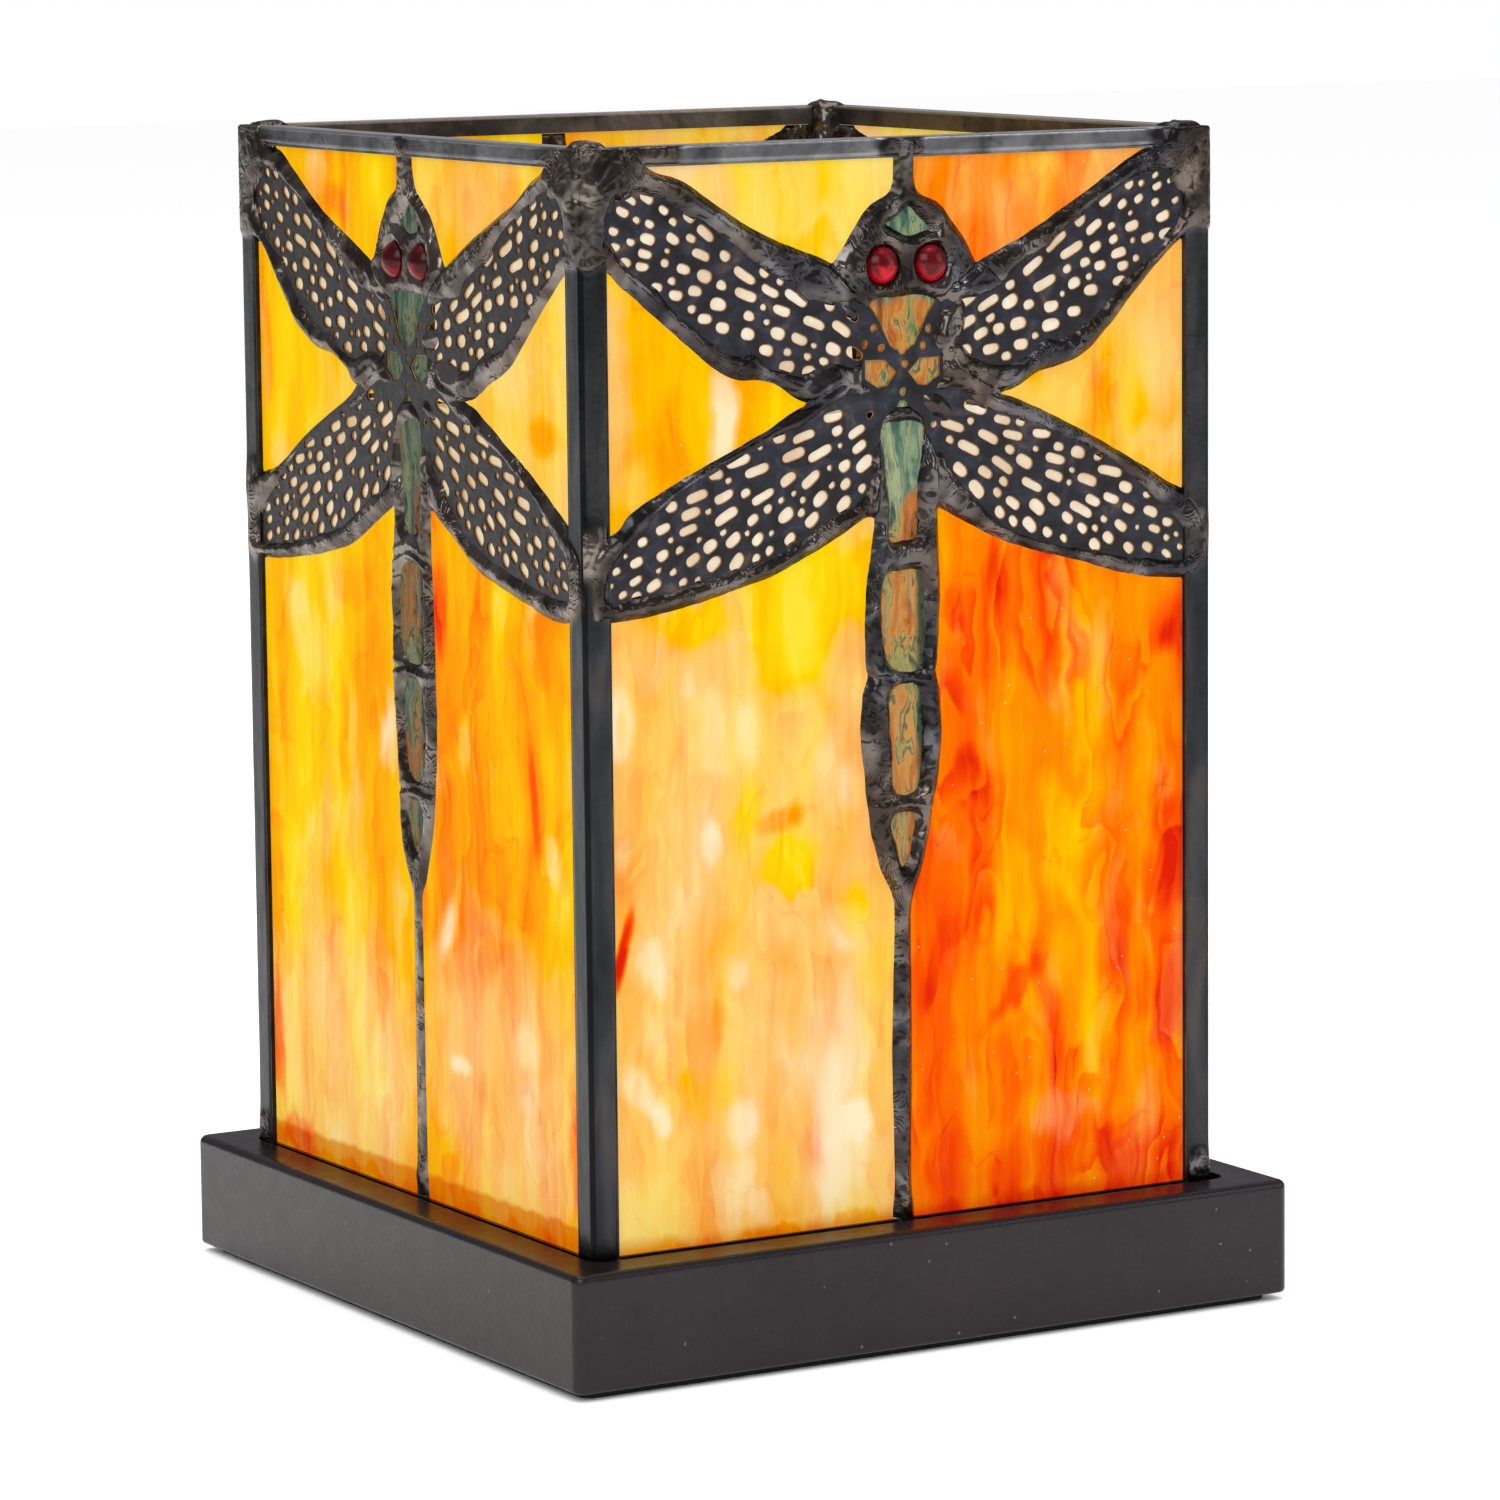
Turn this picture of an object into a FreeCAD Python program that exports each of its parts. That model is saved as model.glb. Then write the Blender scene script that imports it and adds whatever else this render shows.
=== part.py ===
import FreeCAD, Part
import math
import os
from FreeCAD import Vector

# Stained glass table lamp: a square open-topped shade of four leaded dragonfly panels, standing loose in
# the recess of a painted wooden base that carries a candelabra socket and its bulb. Millimetres, +Z up.
# The origin is the centre of the base's underside. Each panel is drawn once, as the front panel facing
# -Y, and turned about Z for the other three sides.

# ---- driving dimensions ----
LAMP_H = 184.0            # table to the top of the shade's rim
BASE_W = 128.0            # square base, about 5 in
BASE_T = 18.0             # thickness of the base board
FELT_T = 1.2              # felt under the board
SHADE_W = 111.0           # square shade, over the corner channels
SHADE_X = -0.75           # the loose shade rests a little back and to the left in its recess
SHADE_Y = 0.3

# base
BASE_CORNER_R = 1.8
BASE_EDGE_R = 1.2         # rounded edge along the top
BASE_FOOT_R = 0.7         # and along the bottom
RECESS_W = 114.3
RECESS_DEPTH = 3.0
RECESS_R = 3.0
FELT_INSET = 2.5
FELT_R = 2.0
POCKET_R = 9.0            # wiring pocket bored from below
POCKET_DEPTH = 9.0
CHANNEL_Z = 7.2           # height of the cord channel's axis
BUSHING_R = 4.0
BUSHING_BORE_R = 3.0
BUSHING_LENGTH = 14.0
BUSHING_FLANGE_R = 5.2
BUSHING_FLANGE_T = 1.2

# leaded panel, by depth from the outer face of its metal channels
LIP = 0.7                 # thickness of a channel's lips and web
GLASS_T = 2.6
PANEL_T = GLASS_T + 2 * LIP
RIM_LIP_H = 3.0           # height of the rim and foot channels' lips
POST_LIP_W = 4.5          # width of a corner channel's outer lip
POST_INNER_LIP_W = 3.0
MITRE_GAP = 0.15
BEAD_PROUD = 0.3          # how far a solder bead stands out past the channels
BEAD_INNER_T = 0.8
FOIL_IN = 1.2             # from the outside of a bead to the background glass that it laps
HEART_W = 0.8             # solder between the background glass and the wing glass
WING_BEAD_W = 3.4         # width of the bead round a wing
FILIGREE_T = 0.4
BODY_LAP = 0.8            # how far a bead laps the dragonfly's own glass
NECK_SEAM_V = 12.0        # the seam above the head runs from the rim down to here
TAIL_SEAM_V = 110.0       # and the one along the tail from here down to the foot

# filigree piercings
HOLE_W = 1.5
HOLE_ROW_PITCH = 2.9
HOLE_PITCH = 4.3
HOLE_LENGTH_ROOT = 3.0
HOLE_LENGTH_TIP = 1.7
HOLE_MARGIN = 0.7
HOLE_ROWS = range(-4, 5)
UPPER_HOLES = [(9.0, 31.0), (50.0, 8.5)]      # the middle row of an upper right wing, root to tip
LOWER_HOLES = [(9.0, 43.5), (52.0, 66.0)]

# eyes
EYE_R = 2.7
EYE_DOME_H = 1.6
EYE_HEIGHT = 19.0         # below the top of the rim
EYE_SPREAD = 4.3          # each eye's distance from EYE_MIDDLE
EYE_MIDDLE = 0.7

# lamp holder, a candelabra (E12) socket on a 1/8 IP nipple
NIPPLE_R = 4.85
NIPPLE_BORE_R = 3.2
NIPPLE_BELOW_NUT = 1.0
NUT_ACROSS_FLATS = 14.0
NUT_T = 3.0
WASHER_R = 8.2
WASHER_T = 0.8
SEAT_PLATE_R = 15.0
SEAT_PLATE_T = 1.2
HUB_R = 7.2
HUB_H = 5.0
SOCKET_R = 11.5
SOCKET_H = 36.0
SOCKET_FLOOR_T = 4.0
SOCKET_EDGE_R = 0.8
LINER_T = 0.6
LINER_DROP = 1.5          # from the socket's mouth down to the screw shell
SHELL_T = 0.5
CONTACT_R = 2.4
CONTACT_T = 0.8
CONTACT_GAP = 0.3
RIVET_R = 1.0
RIVET_H = 3.0
WIRE_WAY_R = 3.2
SCREW_R = 1.3
SCREW_GRIP = 5.5
SCREW_HEAD_R = 2.5
SCREW_HEAD_H = 1.4

# bulb, torpedo shape with a candelabra cap
CAP_R = 5.95
CAP_FIT = 0.08            # running clearance of the cap in the screw shell
CAP_H = 16.0
CAP_WALL = 0.4
CAP_THREAD_DEPTH = 0.5
CAP_THREADS = 4
CAP_THREAD_START = 1.0
CAP_THREAD_H = 10.16      # four turns of ten to the inch
CAP_COLLAR_H = 3.6
TIP_R = 2.4
TIP_H = 1.0
TIP_DROP = 2.4            # from the cap's lower edge to the tip's end
INSULATOR_H = 1.5
BULB_WALL = 0.8
BULB_SIDE = [(5.4, 0.0), (5.7, 4.0), (9.6, 14.0), (15.0, 26.0), (17.5, 38.0), (16.6, 50.0), (12.8, 62.0),
             (7.6, 72.0), (3.4, 77.4), (0.0, 79.3)]
STEM_R = 2.6
STEM_H = 22.0
STEM_FLARE_H = 6.0
SUPPORT_H = 14.0
FILAMENT_SPAN = 14.0
WIRE_R = 0.35
COIL_R = 0.6

SEAM_LEG = 2.6            # size of the solder fillet inside each corner
SIDES = {"front": 0, "right": 90, "back": 180, "left": -90}
UPPER_GLASS_V = 25.0      # a background sheet whose middle is above this is an upper one,
MID_GLASS_V = 60.0        # above this a middle one, and below it a lower one

# derived levels
BOARD_TOP = FELT_T + BASE_T
RECESS_Z = BOARD_TOP - RECESS_DEPTH
HALF = SHADE_W / 2
GLASS_HALF_W = HALF - PANEL_T
SHELL_R = CAP_R + CAP_FIT
HUB_Z = RECESS_Z + SEAT_PLATE_T
SOCKET_Z = HUB_Z + HUB_H
SOCKET_TOP = SOCKET_Z + SOCKET_H
CAVITY_Z = SOCKET_Z + SOCKET_FLOOR_T
CAP_Z = SOCKET_TOP - CAP_H

Z_UP = Vector(0, 0, 1)


# ---- the dragonfly, (across, down) from the panel's middle and the rim's top ----
BODY = [
    (1.9, 2.0), (2.0, 8.2), (6.0, 10.8), (9.4, 14.6), (11.6, 18.4), (13.5, 22.0), (9.0, 24.5),
    (8.4, 39.0), (5.4, 44.0), (5.0, 56.5), (6.0, 61.0), (6.4, 72.0), (6.9, 80.0), (7.0, 90.0),
    (6.0, 100.0), (4.8, 106.0), (2.8, 112.0), (1.6, 115.5), (1.3, 118.0), (2.0, 132.0), (2.0, 140.0),
    (1.6, 160.0), (1.8, 166.0),
]
UPPER_WING = [
    (3.0, 20.5), (13.5, 19.0), (22.0, 15.0), (31.5, 10.0), (41.0, 4.2), (49.0, -2.5), (57.0, -4.0),
    (57.0, 13.0), (51.5, 17.2), (46.5, 21.2), (37.5, 29.6), (31.5, 34.2), (24.0, 36.0), (17.5, 39.0),
    (3.0, 38.0),
]
LOWER_WING = [
    (3.0, 38.0), (17.5, 39.4), (25.6, 43.1), (35.6, 47.8), (46.5, 53.5), (51.0, 56.6), (56.0, 60.5),
    (57.5, 65.0), (55.0, 69.2), (48.0, 69.4), (39.4, 68.3), (32.0, 65.8), (24.4, 64.2), (18.0, 62.0),
    (7.0, 56.4), (3.0, 54.0),
]
CROWN_GLASS = [(-2.0, 12.4), (1.4, 10.6), (4.9, 12.8), (3.0, 14.3), (0.8, 13.9)]
THORAX_WINDOW = [
    (-5.2, 24.4), (0.5, 23.6), (6.2, 24.4), (6.4, 36.4), (3.2, 38.4), (2.2, 40.0), (-1.8, 40.0),
    (-2.6, 38.4), (-6.0, 36.4),
]
ABDOMEN_GLASS = [
    [(-3.6, 43.0), (3.9, 43.2), (3.3, 48.0), (2.4, 54.0), (2.3, 60.6), (-2.4, 60.6), (-2.6, 54.0),
     (-3.4, 48.0)],
    [(-3.4, 65.3), (3.6, 65.3), (4.2, 72.0), (3.4, 80.6), (-3.2, 80.6), (-3.9, 72.0)],
    [(-3.0, 83.4), (3.2, 83.2), (3.4, 91.0), (2.6, 99.0), (-2.0, 99.0), (-2.9, 91.0)],
    [(-2.4, 102.5), (2.4, 102.5), (1.6, 107.0), (0.2, 111.0), (-1.4, 107.0)],
]
# where the filigree crosses over the thorax from wing to wing: its right half, top to bottom
BRIDGE_HALF = [
    (0.0, 33.0), (2.2, 31.4), (5.0, 25.8), (10.5, 24.5), (10.5, 33.2), (3.0, 33.2), (0.9, 35.2),
    (2.8, 37.5), (8.2, 38.6), (9.5, 47.0), (6.2, 47.0), (3.4, 41.6), (0.0, 39.2),
]


# ---- helpers ----
def at(across, down, depth=0.0):
    """A point of the front panel, before the shade's own offset."""
    return Vector(across, depth - HALF, LAMP_H - down)


def outline(points):
    """A flat face on the panel's outer plane."""
    corners = [at(u, v) for u, v in points]
    return Part.Face(Part.makePolygon(corners + corners[:1]))


def mirrored(points):
    return [(-u, v) for u, v in reversed(points)]


def both_halves(right_half):
    """A closed outline from the half that lies to the right of the panel's middle line."""
    return right_half + [(-u, v) for u, v in reversed(right_half) if u != 0.0]


def main_face(shape):
    """The largest face of a flat cut."""
    return max(shape.Faces, key=lambda face: face.Area)


def grown(face, distance):
    """The face with its edge moved out by the distance, or in where it is negative."""
    return main_face(face.makeOffset2D(distance, 2))


def joined(faces):
    whole = faces[0].fuse(faces[1:]) if len(faces) > 1 else faces[0]
    return whole.removeSplitter()


def without(face, others):
    return face.cut(others) if others else face


def slab(face, near, far):
    """The face's shape as a solid between two depths."""
    solids = []
    for part in face.Faces:
        moved = part.translated(Vector(0, near, 0))
        solids.append(moved.extrude(Vector(0, far - near, 0)))
    return solids


def box(low, high):
    size = Vector(*high) - Vector(*low)
    return Part.makeBox(size.x, size.y, size.z, Vector(*low))


def rod(radius, z_low, z_high):
    return Part.makeCylinder(radius, z_high - z_low, Vector(0, 0, z_low))


def ring(outer, inner, z_low, z_high):
    return rod(outer, z_low, z_high).cut(rod(inner, z_low, z_high))


def rounded_block(width, z_low, z_high, corner_r):
    block = box((-width / 2, -width / 2, z_low), (width / 2, width / 2, z_high))
    upright = [e for e in block.Edges if abs(e.tangentAt(e.FirstParameter).z) > 0.99]
    return block.makeFillet(corner_r, upright)


def turned_solid(profile):
    """A solid of revolution about Z from (radius, height) points."""
    corners = [Vector(r, 0, z) for r, z in profile]
    face = Part.Face(Part.makePolygon(corners + corners[:1]))
    return face.revolve(Vector(0, 0, 0), Z_UP, 360)


def write(name, solids):
    """Export one node as separate solids."""
    solids = solids if isinstance(solids, list) else [solids]
    found = [solid for shape in solids for solid in shape.Solids]
    node = found[0] if len(found) == 1 else Part.makeCompound(found)
    node.exportStep("parts/" + name + ".step")
    print(name, len(found), "solids,", round(sum(s.Volume for s in found), 1), "mm3")


# ---- leaded panel ----
def panel_rectangle(half_width, top, bottom):
    return outline([(-half_width, top), (half_width, top), (half_width, bottom), (-half_width, bottom)])


def slot_face(centre, along, length):
    """A round-ended slot, lying along a unit direction (across, down)."""
    reach = max(length - HOLE_W, 0.02) / 2
    radius = HOLE_W / 2
    side = (-along[1], along[0])

    def place(run, off):
        return at(centre[0] + along[0] * run + side[0] * off, centre[1] + along[1] * run + side[1] * off)

    edges = [
        Part.LineSegment(place(-reach, radius), place(reach, radius)).toShape(),
        Part.Arc(place(reach, radius), place(reach + radius, 0), place(reach, -radius)).toShape(),
        Part.LineSegment(place(reach, -radius), place(-reach, -radius)).toShape(),
        Part.Arc(place(-reach, -radius), place(-reach - radius, 0), place(-reach, radius)).toShape(),
    ]
    return Part.Face(Part.Wire(edges))


def piercings(window, root, tip):
    """Rows of slots that fill a wing's window, long near its root and shorter towards its tip."""
    run = math.dist(root, tip)
    along = ((tip[0] - root[0]) / run, (tip[1] - root[1]) / run)
    side = (-along[1], along[0])
    room = grown(window, -(HOLE_MARGIN + HOLE_W / 2))
    holes = []
    for row in HOLE_ROWS:
        for step in range(int(run / HOLE_PITCH) + 2):
            length = HOLE_LENGTH_ROOT + (HOLE_LENGTH_TIP - HOLE_LENGTH_ROOT) * step * HOLE_PITCH / run
            forward = (step + 0.5 * (row % 2)) * HOLE_PITCH
            off = row * HOLE_ROW_PITCH
            centre = tuple(root[k] + along[k] * forward + side[k] * off for k in (0, 1))
            reach = (length - HOLE_W) / 2
            ends = [at(centre[0] + along[0] * s * reach, centre[1] + along[1] * s * reach) for s in (-1, 1)]
            if all(room.isInside(end, 1e-6, True) for end in ends):
                holes.append(slot_face(centre, along, length))
    return holes


def eye_jewels():
    """Two round cabochons, domed outwards, set through the leaded head."""
    jewels = []
    rise = EYE_DOME_H
    sphere_r = (EYE_R ** 2 + rise ** 2) / (2 * rise)
    for across in (EYE_MIDDLE - EYE_SPREAD, EYE_MIDDLE + EYE_SPREAD):
        foot = at(across, EYE_HEIGHT, LIP + GLASS_T)
        stem = Part.makeCylinder(EYE_R, LIP + GLASS_T + rise, foot, Vector(0, -1, 0))
        ball = Part.makeSphere(sphere_r, at(across, EYE_HEIGHT, sphere_r - rise))
        jewels.append(stem.common(ball.fuse(Part.makeCylinder(EYE_R, LIP + GLASS_T, foot, Vector(0, -1, 0)))))
    return jewels


def panel():
    """Every piece of the front panel inside its channels, by name."""
    body = outline(both_halves(BODY))
    wings = [outline(w) for w in (UPPER_WING, mirrored(UPPER_WING), LOWER_WING, mirrored(LOWER_WING))]
    glass_top = LIP
    glass_bottom = LAMP_H - RECESS_Z - LIP
    field = panel_rectangle(GLASS_HALF_W, glass_top, glass_bottom)
    foot_v = LAMP_H - RECESS_Z - RIM_LIP_H
    outer_view = panel_rectangle(HALF - POST_LIP_W, RIM_LIP_H, foot_v)
    inner_view = panel_rectangle(GLASS_HALF_W - POST_INNER_LIP_W, RIM_LIP_H, foot_v)

    eyes = eye_jewels()
    crown = outline(CROWN_GLASS)
    thorax = outline(THORAX_WINDOW)
    abdomen = [outline(points) for points in ABDOMEN_GLASS]
    own_windows = [crown, thorax] + abdomen
    own_glass = [grown(window, BODY_LAP) for window in own_windows]
    wing_glass = [main_face(grown(w, -(FOIL_IN + HEART_W)).cut(body).common(field)) for w in wings]
    wing_windows = [main_face(grown(w, -WING_BEAD_W).cut(body).common(outer_view)) for w in wings]

    # the neck and tail of the body reach the channels, so this parts the background into six
    figure = joined([grown(body, -FOIL_IN)] + [grown(w, -FOIL_IN) for w in wings])
    seams = [panel_rectangle(HEART_W / 2, 0.0, NECK_SEAM_V),
             panel_rectangle(HEART_W / 2, TAIL_SEAM_V, LAMP_H - RECESS_Z)]
    around_glass = [grown(window, BODY_LAP + HEART_W) for window in own_windows]
    leaded = joined([figure] + seams + around_glass).common(field)
    background = field.cut(leaded)
    heart = without(leaded, own_glass + wing_glass)

    bridge = outline(both_halves(BRIDGE_HALF))
    plate = joined(wing_windows + [bridge])
    spans = [UPPER_HOLES, mirrored(UPPER_HOLES)[::-1], LOWER_HOLES, mirrored(LOWER_HOLES)[::-1]]
    holes = []
    for window, (root, tip) in zip(wing_windows, spans):
        holes += piercings(window, root, tip)

    relief = joined([body] + wings)
    outer_bead = without(relief.common(outer_view), [plate] + own_windows)
    inner_bead = without(relief.common(inner_view), wing_windows + own_windows)

    back = LIP + GLASS_T
    solder = slab(outer_bead, -BEAD_PROUD, LIP) + slab(heart, LIP, back)
    solder += slab(inner_bead, back, back + BEAD_INNER_T)
    lead = solder[0].fuse(solder[1:]).cut(eyes).removeSplitter()

    pieces = {"solder": lead.Solids, "eyes": eyes}
    pieces["filigree"] = slab(plate.cut(holes), LIP - FILIGREE_T, LIP)
    pieces["wing_glass"] = [s for face in wing_glass for s in slab(face, LIP, back)]
    pieces["body_glass"] = [s for face in own_glass for s in slab(face, LIP, back)]
    for sheet in slab(background, LIP, back):
        middle = sheet.BoundBox.Center
        drop = LAMP_H - middle.z
        level = "upper" if drop < UPPER_GLASS_V else "mid" if drop < MID_GLASS_V else "lower"
        hand = "left" if middle.x < 0 else "right"
        pieces["glass_" + level + "_" + hand] = [sheet]
    return pieces


# ---- metal channels that frame a panel ----
def channel(profile, start, run):
    face = Part.Face(Part.makePolygon([start + p for p in profile] + [start + profile[0]]))
    return face.extrude(run)


def mitred(solid, z_low, z_high):
    """Cut a front channel to the 45-degree planes through the shade's corners."""
    reach = HALF - MITRE_GAP
    corners = [Vector(-reach, -HALF, z_low), Vector(reach, -HALF, z_low), Vector(0, reach - HALF, z_low)]
    wedge = Part.Face(Part.makePolygon(corners + corners[:1])).extrude(Vector(0, 0, z_high - z_low))
    return solid.common(wedge)


def level_channel(edge_z, upward):
    """The rim or foot channel: a U along the panel's edge, open towards the glass."""
    web = -LIP if upward else LIP
    lip = -RIM_LIP_H if upward else RIM_LIP_H
    profile = [(0, 0), (PANEL_T, 0), (PANEL_T, lip), (PANEL_T - LIP, lip), (PANEL_T - LIP, web),
               (LIP, web), (LIP, lip), (0, lip)]
    section = [Vector(0, depth, height) for depth, height in profile]
    bar = channel(section, Vector(-HALF, -HALF, edge_z), Vector(SHADE_W, 0, 0))
    return mitred(bar, edge_z - RIM_LIP_H, edge_z + RIM_LIP_H)


def post_channels():
    """The two upright channels at the panel's ends, between the rim and the foot."""
    z_low = RECESS_Z + RIM_LIP_H
    z_high = LAMP_H - RIM_LIP_H
    glass_edge = GLASS_HALF_W
    lip_edge = HALF - POST_LIP_W
    inner_edge = GLASS_HALF_W - POST_INNER_LIP_W
    profile = [(lip_edge, 0), (HALF, 0), (HALF, PANEL_T), (inner_edge, PANEL_T), (inner_edge, PANEL_T - LIP),
               (glass_edge, PANEL_T - LIP), (glass_edge, LIP), (lip_edge, LIP)]
    posts = []
    for hand in (-1, 1):
        section = [Vector(hand * u, depth, 0) for u, depth in profile]
        bar = channel(section, Vector(0, -HALF, z_low), Vector(0, 0, z_high - z_low))
        posts.append(mitred(bar, z_low, z_high))
    return posts


# ---- base ----
def base_block():
    block = rounded_block(BASE_W, FELT_T, BOARD_TOP, BASE_CORNER_R)
    for height, radius in ((BOARD_TOP, BASE_EDGE_R), (FELT_T, BASE_FOOT_R)):
        rims = [e for e in block.Edges if abs(e.CenterOfMass.z - height) < 1e-6]
        block = block.makeFillet(radius, rims)
    block = block.cut(rounded_block(RECESS_W, RECESS_Z, BOARD_TOP + 1, RECESS_R))
    block = block.cut(rod(POCKET_R, FELT_T, FELT_T + POCKET_DEPTH))
    block = block.cut(rod(NIPPLE_R, FELT_T, BOARD_TOP))
    back_y = BASE_W / 2
    outward = Vector(0, 1, 0)
    channel_bore = Part.makeCylinder(BUSHING_R, back_y, Vector(0, 0, CHANNEL_Z), outward)
    flange_y = back_y - BUSHING_FLANGE_T
    seat_foot = Vector(0, flange_y, CHANNEL_Z)
    flange_seat = Part.makeCylinder(BUSHING_FLANGE_R, BUSHING_FLANGE_T, seat_foot, outward)
    above_pocket = rod(POCKET_R, FELT_T + POCKET_DEPTH, BOARD_TOP)
    return block.cut(channel_bore.cut(above_pocket)).cut(flange_seat)


def cord_bushing():
    outward = Vector(0, 1, 0)
    flange_foot = Vector(0, BASE_W / 2 - BUSHING_FLANGE_T, CHANNEL_Z)
    tube_foot = flange_foot - outward * BUSHING_LENGTH
    tube = Part.makeCylinder(BUSHING_R, BUSHING_LENGTH, tube_foot, outward)
    flange = Part.makeCylinder(BUSHING_FLANGE_R, BUSHING_FLANGE_T, flange_foot, outward)
    bore = Part.makeCylinder(BUSHING_BORE_R, BUSHING_LENGTH + BUSHING_FLANGE_T, tube_foot, outward)
    return tube.fuse(flange).removeSplitter().cut(bore)


def hexagon(across_flats, z_low, z_high):
    radius = across_flats / math.sqrt(3)
    corners = [Vector(radius * math.cos(math.radians(60 * k)), radius * math.sin(math.radians(60 * k)), z_low)
               for k in range(6)]
    return Part.Face(Part.makePolygon(corners + corners[:1])).extrude(Vector(0, 0, z_high - z_low))


# ---- socket ----
def side_screw(hand, height):
    """A terminal screw let into the side of the socket."""
    outward = Vector(hand, 0, 0)
    shank_x = SOCKET_R - SCREW_GRIP
    shank = Part.makeCylinder(SCREW_R, SCREW_GRIP, Vector(hand * shank_x, 0, height), outward)
    head = Part.makeCylinder(SCREW_HEAD_R, SCREW_HEAD_H, Vector(hand * SOCKET_R, 0, height), outward)
    return shank.fuse(head).removeSplitter()


def socket_pieces():
    """The holder's pieces, from the nut under the board up to the screw shell."""
    pocket_top = FELT_T + POCKET_DEPTH
    washer_z = pocket_top - WASHER_T
    nut_z = washer_z - NUT_T
    shell_outer_r = SHELL_R + SHELL_T
    cavity_r = shell_outer_r + LINER_T
    contact_top = CAP_Z - TIP_DROP - CONTACT_GAP
    core_top = contact_top - CONTACT_T
    screws = [side_screw(hand, (CAVITY_Z + core_top) / 2) for hand in (-1, 1)]

    pieces = {"terminal_screws": screws}
    pieces["mounting_nipple"] = ring(NIPPLE_R, NIPPLE_BORE_R, nut_z - NIPPLE_BELOW_NUT, SOCKET_Z)
    pieces["nipple_nut"] = hexagon(NUT_ACROSS_FLATS, nut_z, washer_z).cut(rod(NIPPLE_R, nut_z, washer_z))
    pieces["nipple_washer"] = ring(WASHER_R, NIPPLE_R, washer_z, pocket_top)
    plate = ring(SEAT_PLATE_R, NIPPLE_R, RECESS_Z, HUB_Z)
    pieces["socket_hub"] = plate.fuse(ring(HUB_R, NIPPLE_R, HUB_Z, SOCKET_Z)).removeSplitter()

    body = rod(SOCKET_R, SOCKET_Z, SOCKET_TOP)
    rim = [e for e in body.Edges if abs(e.BoundBox.ZMin - SOCKET_TOP) < 1e-6]
    body = body.makeFillet(SOCKET_EDGE_R, rim)
    body = body.cut([rod(cavity_r, CAVITY_Z, SOCKET_TOP), rod(NIPPLE_BORE_R, SOCKET_Z, CAVITY_Z)] + screws)
    pieces["socket_body"] = body
    contact = rod(CONTACT_R, core_top, contact_top).fuse(rod(RIVET_R, core_top - RIVET_H, core_top))
    pieces["socket_contact"] = contact.removeSplitter()
    core = rod(cavity_r, CAVITY_Z, core_top)
    wire_way = rod(WIRE_WAY_R, CAVITY_Z, core_top - RIVET_H)
    pieces["socket_core"] = core.cut([wire_way, contact] + screws)
    pieces["socket_liner"] = ring(cavity_r, shell_outer_r, core_top, SOCKET_TOP - LINER_DROP)
    pieces["socket_screw_shell"] = ring(shell_outer_r, SHELL_R, core_top, SOCKET_TOP - LINER_DROP)
    return pieces


# ---- bulb ----
def envelope(points, foot_z):
    """A solid of revolution whose side is one smooth curve through (radius, height) points."""
    knots = [Vector(r, 0, foot_z + h) for r, h in points]
    curve = Part.BSplineCurve()
    curve.interpolate(Points=knots, InitialTangent=Vector(0, 0, 1), FinalTangent=Vector(-1, 0, 0))
    foot = Vector(0, 0, knots[0].z)
    edges = [curve.toShape(), Part.makeLine(knots[-1], foot), Part.makeLine(foot, knots[0])]
    return Part.Face(Part.Wire(edges)).revolve(Vector(0, 0, 0), Z_UP, 360)


def threaded_cap():
    """The bulb's cap, its thread drawn as a row of rounded rings."""
    root_r = CAP_R - CAP_THREAD_DEPTH
    pitch = CAP_THREAD_H / CAP_THREADS
    profile = [(root_r - CAP_WALL, CAP_Z), (root_r, CAP_Z)]
    for turn in range(CAP_THREADS):
        low = CAP_Z + CAP_THREAD_START + turn * pitch
        crest = [(CAP_R, low + 0.3 * pitch), (CAP_R, low + 0.7 * pitch)]
        profile += [(root_r, low)] + crest + [(root_r, low + pitch)]
    profile += [(CAP_R, SOCKET_TOP - CAP_COLLAR_H), (CAP_R, SOCKET_TOP), (root_r - CAP_WALL, SOCKET_TOP)]
    return turned_solid(profile)


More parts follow.
